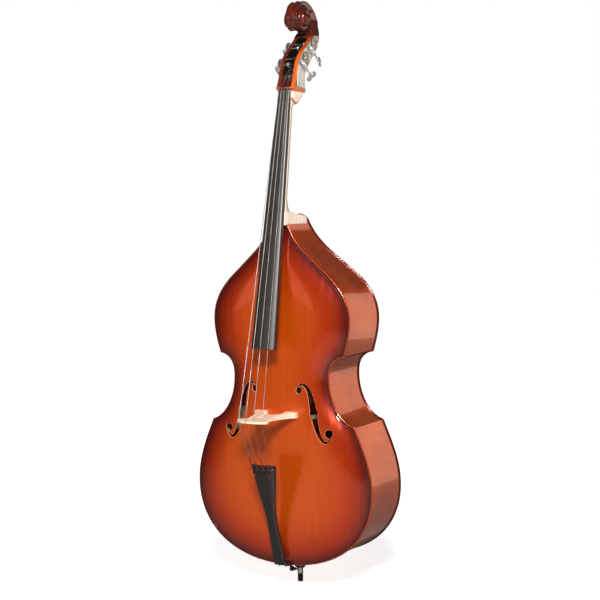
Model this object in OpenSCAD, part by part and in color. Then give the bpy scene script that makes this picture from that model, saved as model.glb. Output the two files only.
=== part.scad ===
// Three-quarter double bass with machine-head tuners, standing upright on its endpin.
// +X is the right of someone facing the front, +Y the back, +Z up. Lengths are millimetres.
// The origin is where the endpin's rubber tip meets the floor.
// Most modules work in the body frame: Y = 0 is the edge of the top plate, Z = 0 the body's bottom.

/* [Body] */
// Length of the body, bottom edge to neck joint
body_l = 1116; // [1110:1:1120]
// Width across the lower bouts
lower_w = 650; // [640:1:660]
// Width across the waist
waist_w = 354; // [348:1:360]
// Width across the upper bouts
upper_w = 506; // [498:1:514]
// Depth of the body from plate edge to plate edge
body_d = 215; // [210:1:220]
// Depth of the body at the heel, where the back slopes in
heel_d = 152; // [148:1:156]
// Height up the body at which the flat back bends forwards
back_break = 937; // [925:1:950]
// Gap between the floor and the body
floor_gap = 80; // [80:1:86]
// Height of the arch of the top plate
arch_h = 30; // [26:1:32]

/* [Plates and ribs] */
// Thickness of the top plate
top_t = 7; // [6:0.5:8]
// Thickness of the back plate
back_t = 6; // [5:0.5:7]
// Thickness of the ribs
rib_t = 2.5; // [2:0.5:3]
// How far the plates overhang the ribs
overhang = 4; // [3:0.5:5]
// Width of the linings
lining_t = 6; // [5:1:7]
// Height of the linings
lining_h = 20; // [16:1:24]

/* [Neck and strings] */
// Backward lean of the playing surface
board_lean = 11.7; // [11.5:0.1:11.9]
// Length of the fingerboard
board_l = 838; // [832:1:844]
// Width of the fingerboard at the nut
nut_w = 42; // [41:1:43]
// Width of the fingerboard at its free end
board_w = 87; // [85:1:89]
// Radius of the playing surface
board_r = 78; // [75:1:82]
// Distance from the bridge to the nut
string_l = 1045; // [1043:1:1047]
// Crown of the bridge in front of the edge of the top plate
bridge_reach = 202; // [200:1:204]
// Distance between neighbouring strings at the bridge
bridge_gap = 28.7; // [28:0.1:29.4]
// Distance between neighbouring strings at the nut
nut_gap = 10.4; // [10.2:0.1:10.6]
// Radii of the E, A, D and G strings
string_r = [1.35, 1.1, 0.9, 0.7];

/* [Tuners] */
// Half width of the pegbox over its cheeks
cheek_x = 33; // [32.5:0.5:34]
// How far the worm shafts point down from level
worm_dip = 35; // [34:1:36]
// Distance from a worm's middle to its key
key_reach = 61; // [60:1:62]

/* [Endpin] */
// Radius of the endpin rod
rod_r = 5; // [4.5:0.5:5.5]
// Length of the endpin rod
rod_l = 400; // [380:10:420]
// Radius of the rubber tip
tip_r = 9; // [8.5:0.5:9.5]

/* [Hidden] */
$fn = 48;
bite = 0.05;      // running clearance of a shaft in a hole
far = 400;        // longer than any cut needs

// ---- outline of the body, right half, bottom centre to neck joint, in X and Z ----
lw = lower_w / 2;
ww = waist_w / 2;
uw = upper_w / 2;
joint_x = 33.5;
heel_x = 30;
corner_low = [lw - 60, 0.419 * body_l];
corner_high = [uw - 22, 0.617 * body_l];
low_z = 0.231 * body_l;
waist_z = 0.552 * body_l;
high_z = 0.72 * body_l;
shoulder = [150, 0.871 * body_l];

function bez(a, b, c, d, t) = a * pow(1 - t, 3) + 3 * b * t * pow(1 - t, 2)
    + 3 * c * t * t * (1 - t) + d * pow(t, 3);
function curve(s, n) = [for (i = [0 : n - 1]) bez(s[0], s[1], s[2], s[3], i / n)];
bouts_low = [for (s = [[[0, 0], [190, 0], [lw, 95], [lw, low_z], 12],
                       [[lw, low_z], [lw, low_z + 87], [lw - 40, corner_low[1] - 53], corner_low, 7]])
             each curve(s, s[4])];
bouts_mid = [for (s = [[corner_low, [ww + 38, corner_low[1] + 12], [ww, waist_z - 71], [ww, waist_z], 9],
                       [[ww, waist_z], [ww - 1, waist_z + 44], [ww + 18, corner_high[1] - 4],
                        corner_high, 6]])
             each curve(s, s[4])];
bouts_high = concat([for (s = [[corner_high, corner_high + [12, 39], [uw, high_z - 38], [uw, high_z], 6],
                       [[uw, high_z], [uw, high_z + 77], [200, shoulder[1] - 40], shoulder, 9],
                       [shoulder, shoulder + [-38, 39], [56, body_l - 72], [joint_x, body_l], 9]])
             each curve(s, s[4])], [[joint_x, body_l]]);
half = concat(bouts_low, bouts_mid, bouts_high);
n_low = len(bouts_low);
n_mid = len(bouts_low) + len(bouts_mid);
n_half = len(half);
outline = concat(half, [for (i = [n_half - 1 : -1 : 1]) [-half[i][0], half[i][1]]]);
width_table = [for (p = half) [p[1], p[0]]];

function unit(v) = v / norm(v);
function turn_left(v) = [-v[1], v[0]];
// Moves a closed anticlockwise outline inwards by d, with mitred corners
function inset(p, d) = let (n = len(p)) [for (i = [0 : n - 1])
    let (m = turn_left(unit(p[i] - p[(i + n - 1) % n])) + turn_left(unit(p[(i + 1) % n] - p[i])))
    p[i] + 2 * d * m / (m * m)];
rib_line = inset(outline, overhang);
lining_line = inset(outline, overhang + rib_t);
hollow_line = inset(outline, overhang + rib_t + lining_t);

// ---- arch of the top plate ----
flat_edge = 14;
function ease(t) = t <= 0 ? 0 : t >= 1 ? 1 : 0.35 * t * t * (3 - 2 * t) + 0.65 * (1 - pow(1 - t, 2));
function arch_at(x, z, w) = arch_h * ease((w - abs(x) - flat_edge) / (w - flat_edge))
    * ease((z - flat_edge) / 250) * ease((body_l - flat_edge - z) / 300);
function arch(x, z) = arch_at(x, z, lookup(z, width_table));

// ---- the back's inner and outer faces, as Y for a height ----
back_slope = (body_d - heel_d) / (body_l - back_break);
function back_y(z) = body_d - max(0, z - back_break) * back_slope;

// ---- neck, nut and head ----
bridge_z = 496;
nut_at = [45, bridge_z + string_l];                    // Y and Z of the nut's front corner
nut_t = 9;
board_end_t = 28;
board_nut_t = 18;
function under_y(z) = nut_at[0] - (nut_at[1] - z) * tan(board_lean)
    + (board_nut_t + (board_end_t - board_nut_t) * (nut_at[1] - z) / board_l) / cos(board_lean);
function head(y, z) = [nut_at[0] + y, nut_at[1] + z];
scroll_c = head(103, 239);
cheek_t = 13;
throat = head(151, 201);
// Radius of the scroll for an angle from the back, over the top
function volute(a) = 60 * exp(-a / 70) + 48 - 0.042 * a;
function volute_pt(a) = scroll_c + volute(a) * [cos(a), sin(a)];
front_edge = concat(curve([head(10, 11), head(39, 59), head(31, 99), head(75, 133)], 8),
                    curve([head(75, 133), head(97, 152), head(120, 167), throat], 7));
back_edge = concat([volute_pt(0)],
                   curve([head(208, 222), head(208, 206), head(196, 196), head(187, 184)], 3),
                   curve([head(187, 184), head(170, 139), head(140, 114), head(110, 85)], 8),
                   curve([head(110, 85), head(85, 59), head(83, 39), head(93, -1)], 8));

// ---- tuners: E, A, D, G. Y and Z of each roller, the side its gear is on, and its key's turn ----
roller_at = [head(67, 90), head(120, 147.5), head(133, 161), head(77, 109)];
// Which side of its roller each string runs to: 1 is the back, -1 the front
wrap_side = [1, 1, 1, -1];
roller_side = [-1, -1, 1, 1];
key_turn = [70, 10, -18, 33];
roller_r = 6;
gear_teeth = 20;
gear_r = 20;           // pitch radius
worm_r = 6.5;          // pitch radius
plate_t = 1.5;
plate_x = cheek_x + plate_t;
gear_x = plate_x + 9;
gear_t = 6;
pitch = 2 * PI * gear_r / gear_teeth;
tooth_out = 1.6;
tooth_in = 2;
thread_l = 30;
shaft_r = 2.5;
bracket_s = 20;
plate_screw_r = 1.5;
// Screws of the tuner plates, as Y and Z
plate_screws = [head(45, 26), head(76, 26), head(92, 128), head(112, 108),
                head(158, 186), head(178, 178)];

// ---- strings: X across the bridge, the nut and the rollers ----
bridge_r = 125;
function sag(x, r) = r - sqrt(r * r - x * x);
function lane(i, gap) = (i - 1.5) * gap;
lift = 0.4;
coil_x = [-9.5, -4, 6, 13];
tail_l = 353;
tail_lean = 17.4;
tail_top = [-139, 345];                                // Y and Z of the tailpiece's top edge, upper face
tail_t = 16;
function along_tail(s, out) = tail_top + s * [sin(tail_lean), -cos(tail_lean)]
    + out * [-cos(tail_lean), -sin(tail_lean)];
function yz(x, p) = [x, p[0], p[1]];
slot_s = 24;
function string_bridge(i) = let (x = lane(i, bridge_gap))
    [x, -bridge_reach + sag(x, bridge_r) - lift, bridge_z];
function string_nut(i) = let (x = lane(i, nut_gap))
    yz(x, nut_at + [sag(x, board_r) - 1.5 - string_r[i], 3]);
function string_fret(i) = yz(lane(i, 20), along_tail(10, 4 + string_r[i] - sag(lane(i, 20), 110)));
function string_hole(i) = yz(lane(i, 20), along_tail(slot_s, -tail_t / 2));
function string_ball(i) = yz(lane(i, 20), along_tail(slot_s + 1, -tail_t - 5));
// Where a string from the nut touches its roller, as Y and Z
function roller_touch(i) = let (n = [string_nut(i)[1], string_nut(i)[2]], c = roller_at[i],
    d = unit(c - n), l = norm(c - n), q = roller_r + string_r[i] + 0.15)
    c - d * q * q / l + wrap_side[i] * [d[1], -d[0]] * q * sqrt(1 - q * q / l / l);

// ---- saddle, tail wire and endpin ----
pin_y = body_d / 2;
wire_r = 1.5;
collar_r = 20;
collar_l = 34;
ferrule_l = 18;
ferrule_r = 9.6;
groove_r = 15;
shank_r = 14;
block_h = 40;
tip_l = floor_gap - collar_l - ferrule_l - 0.6;
post_at = [62, 474];                                   // X and Z of the sound post

module body_frame() { translate([0, -body_d / 2, floor_gap]) children(); }
// Extrudes an X-Z shape backwards from y0 to y1
module slab(y0, y1) { translate([0, y1, 0]) rotate([90, 0, 0]) linear_extrude(y1 - y0) children(); }
// Extrudes a Y-Z shape across, from x0 to x1
module side(x0, x1) { translate([x0, 0, 0]) rotate([90, 0, 90]) linear_extrude(x1 - x0) children(); }
module rod(a, b, r) {
    v = b - a;
    translate(a) rotate([0, acos(v[2] / norm(v)), atan2(v[1], v[0])]) cylinder(r = r, h = norm(v));
}
// Everything between the inside faces of the two plates, a margin from each
module between_plates(front = 0, back = 0) {
    side(-far, far) polygon([[top_t + front, -10], [back_y(0) - back_t - back, -10],
        [back_y(0) - back_t - back, back_break], [back_y(body_l + 50) - back_t - back, body_l + 50],
        [top_t + front, body_l + 50]]);
}
module board_frame() { translate([0, nut_at[0], nut_at[1]]) rotate([-board_lean, 0, 0]) children(); }
module board_profile(front) {
    polygon([[front, 0], [board_nut_t, 0], [board_end_t, -board_l], [front, -board_l]]);
}
// Worm frame: X points to the gear's axis, Z along the worm towards its key
module worm_frame(i) {
    c = roller_at[i] + (gear_r + worm_r) * [-sin(worm_dip), -cos(worm_dip)];
    translate([roller_side[i] * gear_x, c[0], c[1]])
        rotate([-90 - worm_dip, 0, 0]) rotate([0, 0, -90]) children();
}
module at_roller(i, x) { translate([x, roller_at[i][0], roller_at[i][1]]) children(); }
module across(r, l) { rotate([0, 90, 0]) cylinder(r = r, h = l); }

// ---- body ----
module arched_shell() {
    rows = [for (i = [1 : n_half - 1]) half[i]];
    cols = 16;
    nr = len(rows);
    nc = cols + 1;
    function grid(dy) = [for (p = rows) for (k = [0 : cols]) let (x = p[0] * (2 * k / cols - 1))
        [x, dy - arch_at(x, p[1], p[0]), p[1]]];
    m = nr * nc;
    function quad(a, b, c, d) = [[a, b, c], [a, c, d]];
    faces = concat(
        [for (j = [0 : nr - 2]) for (k = [0 : cols - 1]) let (a = j * nc + k)
            each quad(a, a + nc, a + nc + 1, a + 1)],
        [for (j = [0 : nr - 2]) for (k = [0 : cols - 1]) let (a = m + j * nc + k)
            each quad(a, a + 1, a + nc + 1, a + nc)],
        [for (j = [0 : nr - 2]) let (a = j * nc) each quad(a, m + a, m + a + nc, a + nc)],
        [for (j = [0 : nr - 2]) let (a = j * nc + cols) each quad(a, a + nc, m + a + nc, m + a)],
        [for (k = [0 : cols - 1]) each quad(k, k + 1, m + k + 1, m + k)],
        [for (k = [0 : cols - 1]) let (a = (nr - 1) * nc + k) each quad(a, m + a, m + a + 1, a + 1)]);
    polyhedron(points = concat(grid(0), grid(top_t)), faces = faces);
}
f_up = [82, 580];
f_low = [186, 445];
f_spine = [[[76, 588], [84, 606], [106, 606], [118, 575]],
           [[118, 575], [128, 548], [127, 538], [133, 512]],
           [[133, 512], [139, 488], [138, 474], [150, 446]],
           [[150, 446], [163, 412], [184, 406], [194, 438]]];
function f_width(t) = 2 + 10 * pow(sin(180 * t), 1.5);
// The opening of the right-hand sound hole
module sound_hole() {
    line = concat([for (s = f_spine) each curve(s, 6)], [f_spine[3][3]]);
    n = len(line);
    function normal(k) = turn_left(unit(line[min(k + 1, n - 1)] - line[max(k - 1, 0)]));
    polygon(concat([for (k = [0 : n - 1]) line[k] + normal(k) * f_width(k / (n - 1))],
                   [for (k = [n - 1 : -1 : 0]) line[k] - normal(k) * f_width(k / (n - 1))]));
    translate(f_up) circle(r = 11);
    translate(f_low) circle(r = 14);
}
module purfling_strip() {
    difference() { polygon(inset(outline, 8)); polygon(inset(outline, 10)); }
}
module top_plate() {
    color("chocolate") body_frame() difference() {
        arched_shell();
        for (s = [0, 1]) mirror([s, 0, 0]) slab(-arch_h - 10, top_t + 10) sound_hole();
        translate([-30, -20, -1]) cube([60, 40, 11]);
        slab(-1, 1.5) purfling_strip();
    }
}
module purfling() {
    color("black") body_frame() difference() {
        slab(0, 1.5) purfling_strip();
        translate([-30, -20, -1]) cube([60, 40, 11]);
    }
}
module back_plate() {
    color("saddlebrown") body_frame() intersection() {
        slab(-1, body_d + 1) { polygon(outline); translate([0, body_l - 4]) circle(r = joint_x); }
        side(-far, far) polygon([[back_y(0) - back_t, -5], [back_y(0), -5], [body_d, back_break],
            [back_y(body_l + 60), body_l + 60], [back_y(body_l + 60) - back_t, body_l + 60],
            [body_d - back_t, back_break]]);
    }
}
module rib(from, to, hand) {
    color("firebrick") body_frame() mirror([hand, 0, 0]) intersection() {
        slab(0, body_d) polygon(concat([for (i = [from : to]) rib_line[i]],
                                       [for (i = [to : -1 : from]) lining_line[i]]));
        between_plates();
        if (from == 0) difference() {
            translate([0, 0, -10]) cube([far, far, far * 3]);
            translate([0, pin_y, -20]) cylinder(r = shank_r, h = 60);
        }
        if (from == n_mid) translate([heel_x + bite, 0, 0]) cube([far, far, far * 3]);
    }
}
module rib_lower_left() { rib(0, n_low, 1); }
module rib_lower_right() { rib(0, n_low, 0); }
module rib_waist_left() { rib(n_low, n_mid, 1); }
module rib_waist_right() { rib(n_low, n_mid, 0); }
module rib_upper_left() { rib(n_mid, n_half - 1, 1); }
module rib_upper_right() { rib(n_mid, n_half - 1, 0); }

// Where the corner, neck and end blocks stand, as X-Z boxes: low corner, size
block_boxes = [[[corner_low[0] - 55, corner_low[1] - 42], [70, 70]],
               [[corner_high[0] - 42, corner_high[1] - 34], [60, 70]]];
neck_box = [[-75, body_l - 75], [150, 100]];
end_box = [[-60, 0], [120, overhang + rib_t + block_h]];
module box_shape(b) { translate(b[0]) square(b[1]); }
module all_blocks() {
    for (b = block_boxes, s = [0, 1]) mirror([s, 0]) box_shape(b);
    box_shape(neck_box);
    box_shape(end_box);
}
module lining_ring() {
    difference() { polygon(lining_line); polygon(hollow_line); all_blocks(); }
}
module linings_front() {
    color("burlywood") body_frame() slab(top_t, top_t + lining_h) lining_ring();
}
module linings_back() {
    color("burlywood") body_frame() difference() {
        intersection() { slab(0, body_d) lining_ring(); between_plates(); }
        between_plates(-50, lining_h);
    }
}
module corner_blocks() {
    color("tan") body_frame() for (b = block_boxes, s = [0, 1]) mirror([s, 0, 0])
        intersection() {
            slab(0, body_d) intersection() { polygon(lining_line); box_shape(b); }
            between_plates();
        }
}
tenon = [[-24, body_l - 45], [48, 60]];
module neck_block() {
    color("tan") body_frame() difference() {
        intersection() {
            slab(0, body_d) intersection() { polygon(lining_line); box_shape(neck_box); }
            between_plates();
        }
        slab(0, 110) box_shape(tenon);
    }
}
module end_block() {
    color("tan") body_frame() difference() {
        intersection() {
            slab(0, body_d) intersection() { polygon(lining_line); box_shape(end_box); }
            between_plates();
        }
        translate([0, pin_y, -20]) cylinder(r = shank_r, h = 100);
    }
}
module back_braces() {
    color("burlywood") body_frame() intersection() {
        for (z = [250, 560, 830])
            translate([-far, back_y(z) - back_t - 18, z - 20]) cube([2 * far, 18, 40]);
        slab(0, body_d) polygon(hollow_line);
    }
}
// Runs under the foot of the bridge on the E side, following the inside of the arch
module bass_bar() {
    x0 = -64;
    x1 = -44;
    zs = [for (k = [0 : 12]) 210 + 50 * k];
    function deep(z) = 34 - 20 * pow(abs(z - 510) / 300, 2);
    pts = [for (z = zs) each [for (c = [[x0, 0], [x1, 0], [x1, 1], [x0, 1]])
        [c[0], top_t - arch(c[0], z) + 1 + c[1] * deep(z), z]]];
    n = len(zs);
    color("burlywood") body_frame() polyhedron(points = pts, faces = concat(
        [[0, 1, 2], [0, 2, 3], [4 * n - 4, 4 * n - 2, 4 * n - 3], [4 * n - 4, 4 * n - 1, 4 * n - 2]],
        [for (j = [0 : n - 2]) for (k = [0 : 3]) let (a = 4 * j + k, b = 4 * j + (k + 1) % 4)
            each [[a, a + 4, b + 4], [a, b + 4, b]]]));
}
module sound_post() {
    y0 = top_t - arch(post_at[0] + 9, post_at[1]) + 1.2;
    color("burlywood") body_frame() translate([post_at[0], y0, post_at[1]])
        rotate([-90, 0, 0]) cylinder(r = 9, h = back_y(0) - back_t - bite - y0);
}

// ---- neck and head ----
neck_rows = [[1117, 31.5, 62], [1143, 31.5, 60], [1150, 31, 51], [1163, 30.5, 39], [1181, 30, 32],
             [1200, 29.5, 28.5], [1350, 25.5, 57], [1500, 21.5, 85], [1552, 21, 96]];
module neck_shaft() {
    steps = 12;
    nc = steps + 1;
    n = len(neck_rows);
    pts = [for (r = neck_rows) let (y0 = under_y(r[0]) - 2) for (k = [0 : steps])
        let (a = 180 * k / steps, c = cos(a), s = sin(a))
        [r[1] * sign(c) * pow(abs(c), 0.8), y0 + (r[2] - y0) * pow(s, 0.85), r[0]]];
    cap = [for (k = [1 : steps - 1]) [0, k, k + 1]];
    polyhedron(points = pts, faces = concat(
        cap,
        [for (f = cap) [f[0], f[2], f[1]] + (n - 1) * nc * [1, 1, 1]],
        [for (j = [0 : n - 2]) for (k = [0 : steps]) let (a = j * nc + k, b = j * nc + (k + 1) % nc)
            each [[a, b + nc, b], [a, a + nc, b + nc]]]));
}
module heel_profile() {
    low = body_l - overhang - rib_t;
    inner = back_y(low) - back_t - bite;
    polygon([[under_y(body_l) - 2, body_l], [top_t, body_l], [top_t, low], [inner, low],
        [back_y(body_l + 14) - back_t - bite, body_l + 14],
        [back_y(body_l + 22) - back_t - 3, body_l + 22],
        [130, body_l + 25], [66, body_l + 30], [60, body_l + 27],
        [under_y(body_l + 27) - 2, body_l + 27]]);
}
module head_profile() {
    polygon(concat(front_edge, [throat], [for (i = [5 : len(back_edge) - 1]) back_edge[i]],
                   [head(93, -1), head(72, -5), head(50, -41), head(16, -41)]));
}
module spine_profile() {
    polygon(concat([throat - [8, 10], throat, scroll_c], [for (i = [0 : 6]) back_edge[i]]));
}
module volute_shape(start) { polygon([for (a = [0 : 12 : 359]) volute_pt(start + a)]); }
module channel_profile() {
    polygon(concat([head(-10, 15), head(24, 4)], [for (i = [0 : 11]) front_edge[i] + [-18, 8]],
        [throat + [-22, -8], throat + [12, -24], head(140, 136), head(100, 96), head(76, 70),
         head(66, 40), head(52, 12)]));
}
module neck() {
    color("peru") body_frame() difference() {
        union() {
            neck_shaft();
            side(-heel_x, heel_x) heel_profile();
            slab(top_t, 110) box_shape([tenon[0], [tenon[1][0], body_l - 6 - tenon[0][1]]]);
            side(-cheek_x, cheek_x) head_profile();
            side(-17, 17) spine_profile();
            for (k = [0 : 5]) let (w = 17 + 4.6 * k) side(-w, w) volute_shape(120 * k);
        }
        board_frame() side(-far, far) board_profile(-60);
        board_frame() translate([-far, -60, -1]) cube([2 * far, 60 + board_nut_t, nut_t + 1]);
        side(-cheek_x + cheek_t, cheek_x - cheek_t) channel_profile();
        for (i = [0 : 3]) at_roller(i, -31.5 * roller_side[i])
            rotate([0, 0, roller_side[i] < 0 ? 180 : 0]) across(roller_r + bite, 80);
        for (p = plate_screws, s = [-1, 1]) translate([s * cheek_x, p[0], p[1]])
            translate([-9, 0, 0]) across(plate_screw_r, 18);
    }
}
module fingerboard() {
    color("dimgray") body_frame() board_frame() intersection() {
        translate([0, board_end_t, 0]) rotate([90, 0, 0]) linear_extrude(board_end_t)
            polygon([[-nut_w / 2, 0], [-board_w / 2, -board_l], [board_w / 2, -board_l], [nut_w / 2, 0]]);
        side(-far, far) board_profile(-1);
        translate([0, board_r, -board_l - 1]) cylinder(r = board_r, h = board_l + 2, $fn = 96);
    }
}
module nut() {
    color("black") body_frame() difference() {
        board_frame() intersection() {
            translate([-nut_w / 2, -3, 0]) cube([nut_w, board_nut_t + 3, nut_t]);
            translate([0, board_r - 3, -1]) cylinder(r = board_r, h = nut_t + 2, $fn = 96);
        }
        for (i = [0 : 3]) string_groove(i);
    }
}
module saddle() {
    color("black") body_frame() intersection() {
        translate([-30, -12, 0]) cube([60, 12 + top_t, 10]);
        translate([0, top_t, 0]) rotate([0, 90, 0]) cylinder(r = 19, h = 80, center = true);
    }
}
bridge_side = [[52, 186], [54, 176], [47, 166], [36, 158], [33, 146], [37, 134], [38, 118], [44, 96],
               [56, 66], [68, 48], [76, 42]];
bridge_leg = [[33, 42], [40, 50], [38, 66], [28, 82], [12, 90]];
module bridge() {
    foot = bridge_z - 4;
    function belly(x) = max(arch(x, foot), arch(x, foot + 19)) + 0.2;
    right = concat([for (x = [0 : 6.7 : 47]) [x, bridge_reach - sag(x, bridge_r)]], bridge_side,
                   [for (k = [0 : 4]) let (x = 76 - 43 * k / 4) [x, belly(x)]], bridge_leg);
    n = len(right);
    color("bisque") body_frame() difference() {
        intersection() {
            translate([0, 0, foot]) linear_extrude(19) mirror([0, 1])
                polygon(concat(right, [for (i = [n - 1 : -1 : 1]) [-right[i][0], right[i][1]]]));
            side(-far, far) polygon([[0, foot], [-260, foot], [-260, foot + 4],
                [-bridge_reach, foot + 7], [-40, foot + 19], [0, foot + 19]]);
        }
        translate([0, -132, foot - 1]) cylinder(r = 10, h = 30);
        for (s = [-1, 1]) translate([s * 24, -150, foot - 1]) cylinder(r = 6, h = 30);
        for (i = [0 : 3]) string_line(i, bite);
    }
}

// ---- strings ----
// Cuts the groove for a string over the nut
module string_groove(i) {
    p = string_nut(i);
    r = string_r[i] + 0.2;
    rod(p - 15 * unit(p - string_bridge(i)), p, r);
    rod(p, p + 20 * unit(yz(coil_x[i], roller_touch(i)) - p), r);
    translate(p) sphere(r = r + 0.1);
}
module string_line(i, gap) {
    r = string_r[i] + gap;
    pts = [string_fret(i), string_bridge(i), string_nut(i), yz(coil_x[i], roller_touch(i))];
    rod(string_ball(i), string_fret(i), r);
    for (k = [0 : 2]) rod(pts[k], pts[k + 1], r);
    for (k = [0 : 2]) translate(pts[k]) sphere(r = r + 0.04);
}
module string_wire(i) {
    r = string_r[i];
    color("silver") body_frame() {
        string_line(i, 0);
        rod(string_ball(i) + [0, 4, 0], string_ball(i) + [0, -1, 0], 3.2);
        for (k = [0 : 2]) at_roller(i, coil_x[i] + roller_side[i] * ((2 * r + 0.1) * k + 2 * r + 0.3))
            rotate([0, 90, 0]) rotate_extrude() translate([roller_r + r + 0.15, 0]) circle(r = r);
    }
}
module string_e() { string_wire(0); }
module string_a() { string_wire(1); }
module string_d() { string_wire(2); }
module string_g() { string_wire(3); }
silk_l = [40, 22, 40, 22];
module string_silks() {
    color("maroon") body_frame() for (i = [0 : 3]) {
        a = string_fret(i);
        v = unit(string_bridge(i) - a);
        c = string_nut(i);
        w = unit(yz(coil_x[i], roller_touch(i)) - c);
        for (e = [[a + 6 * v, a + (6 + silk_l[i]) * v], [c + 12 * w, c + 50 * w]]) difference() {
            rod(e[0], e[1], string_r[i] + 0.5);
            rod(e[0] - (e[1] - e[0]) * 0.1, e[1] + (e[1] - e[0]) * 0.1, string_r[i] + 0.02);
        }
    }
}

// ---- tailpiece ----
module tail_frame() { translate([0, tail_top[0], tail_top[1]]) rotate([tail_lean, 0, 0]) children(); }
tail_side = concat(curve([[46, 0], [44, -60], [17, -110], [16, -205]], 12),
                   curve([[16, -205], [15.5, -260], [20, -300], [20, -335]], 8),
                   [[20, -335], [16, -349], [8, -tail_l]]);
module tailpiece() {
    n = len(tail_side);
    color("black") body_frame() difference() {
        tail_frame() intersection() {
            slab(0, tail_t) polygon(concat([for (i = [n - 1 : -1 : 0]) tail_side[i]],
                [for (p = tail_side) [-p[0], p[1]]]));
            translate([0, 110, -tail_l - 1]) cylinder(r = 110, h = tail_l + 2, $fn = 96);
        }
        tail_frame() for (i = [0 : 3]) translate([lane(i, 20), 0, 0]) slab(-1, tail_t + 1) {
            translate([0, -slot_s - 10]) circle(r = 4.5);
            translate([-1.6, -slot_s - 10]) square([3.2, 16]);
        }
        tail_frame() translate([-43, -5, -12]) cube([86, 12, 4]);
        for (i = [0 : 3]) string_line(i, 0.3);
        for (s = [-1, 1]) rod(wire_top(s), wire_low(s), wire_r + 0.2);
    }
}
module tailpiece_fret() {
    color("black") body_frame() difference() {
        tail_frame() intersection() {
            translate([-43, -6, -12]) cube([86, 13, 4]);
            translate([0, 105, -20]) cylinder(r = 109, h = 30, $fn = 96);
        }
        for (i = [0 : 3]) string_line(i, bite);
    }
}
function wire_top(s) = yz(s * 12, along_tail(tail_l - 26, -tail_t - 4));
function wire_low(s) = [s * 12, -13.2, -1.75];
function wire_turn(s) = [s * (groove_r + wire_r + 0.2), pin_y, -4.5];
module tail_wire() {
    color("dimgray") body_frame() {
        for (s = [-1, 1]) {
            rod(wire_top(s), wire_low(s), wire_r);
            translate(wire_low(s)) sphere(r = wire_r + 0.04);
            rod(wire_low(s), wire_turn(s), wire_r);
            translate(wire_turn(s)) sphere(r = wire_r + 0.15);
            translate(wire_top(s)) sphere(r = 3);
        }
        translate([0, pin_y, -4.5]) rotate_extrude(angle = 180)
            translate([groove_r + wire_r + 0.2, 0]) circle(r = wire_r);
    }
}

// ---- tuners ----
function plate_shape() = concat([for (i = [3 : 14]) front_edge[i] + [6, -1]],
    [throat + [2, -12], head(176, 190)], [for (i = [6 : 13]) back_edge[i] + [-3, 2]],
    [head(86, 56), head(84, 12), head(36, 16)]);
module tuner_plate(s) {
    color("lightgray") body_frame() difference() {
        side(s < 0 ? -plate_x : cheek_x, s < 0 ? -cheek_x : plate_x) polygon(plate_shape());
        for (i = [0 : 3]) if (roller_side[i] == s) at_roller(i, -50) across(roller_r + 2 * bite, 100);
        for (p = plate_screws) translate([-50, p[0], p[1]]) across(plate_screw_r, 100);
    }
}
module tuner_plate_left() { tuner_plate(-1); }
module tuner_plate_right() { tuner_plate(1); }
// A domed screw whose head starts at X = 0, with its shank behind
module screw_along_x(shank, l, head, h) {
    rotate([0, 90, 0]) rotate_extrude() polygon([[0, -l], [shank, -l], [shank, 0], [head, 0],
        [head * 0.95, h * 0.45], [head * 0.75, h * 0.75], [head * 0.4, h * 0.95], [0, h]]);
}
module tuner_plate_screws() {
    color("silver") body_frame() for (p = plate_screws, s = [0, 1]) mirror([s, 0, 0])
        translate([plate_x, p[0], p[1]]) screw_along_x(plate_screw_r, 8 + plate_t, 3.2, 1.6);
}
module worm_brackets() {
    color("silver") body_frame() for (i = [0 : 3]) worm_frame(i) for (z = [-bracket_s, bracket_s])
        difference() {
            translate([-6, roller_side[i] > 0 ? plate_x - gear_x : -6, z - 2.5])
                cube([12, gear_x - plate_x + 6, 5]);
            translate([0, 0, z - 5]) cylinder(r = shaft_r + bite, h = 10);
        }
}
module roller(i) {
    s = roller_side[i];
    color("silver") body_frame() at_roller(i, 0) rotate([0, 0, s < 0 ? 180 : 0]) difference() {
        union() {
            translate([-31, 0, 0]) across(roller_r, 31 + plate_x + 0.2);
            translate([plate_x, 0, 0]) across(4, gear_x + gear_t / 2 - plate_x);
        }
        translate([gear_x - 6, 0, 0]) across(2, 20);
    }
}
module gear_2d() {
    step = 360 / gear_teeth;
    function at(r, w, a) = let (t = w / r * 180 / PI) r * [cos(a + t), sin(a + t)];
    rotate(-90 - worm_dip) polygon([for (k = [0 : gear_teeth - 1])
        each [for (c = [[-tooth_in, -1.8], [tooth_out, -0.8], [tooth_out, 0.8], [-tooth_in, 1.8]])
            at(gear_r + c[0], c[1], k * step)]]);
}
module gear(i) {
    s = roller_side[i];
    color("gold") body_frame() at_roller(i, 0) difference() {
        union() {
            side(s * gear_x - gear_t / 2, s * gear_x + gear_t / 2) gear_2d();
            rotate([0, 0, s < 0 ? 180 : 0])
                translate([plate_x + 0.3, 0, 0]) across(9, gear_x - plate_x);
        }
        translate([-60, 0, 0]) across(4, 120);
    }
}
module gear_screw(i) {
    s = roller_side[i];
    color("silver") body_frame() at_roller(i, 0) rotate([0, 0, s < 0 ? 180 : 0]) {
        translate([gear_x + gear_t / 2, 0, 0]) difference() {
            screw_along_x(2, gear_t / 2 + 5, 6.5, 3);
            translate([1.8, -8, -0.6]) cube([4, 16, 1.2]);
        }
    }
}
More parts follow.
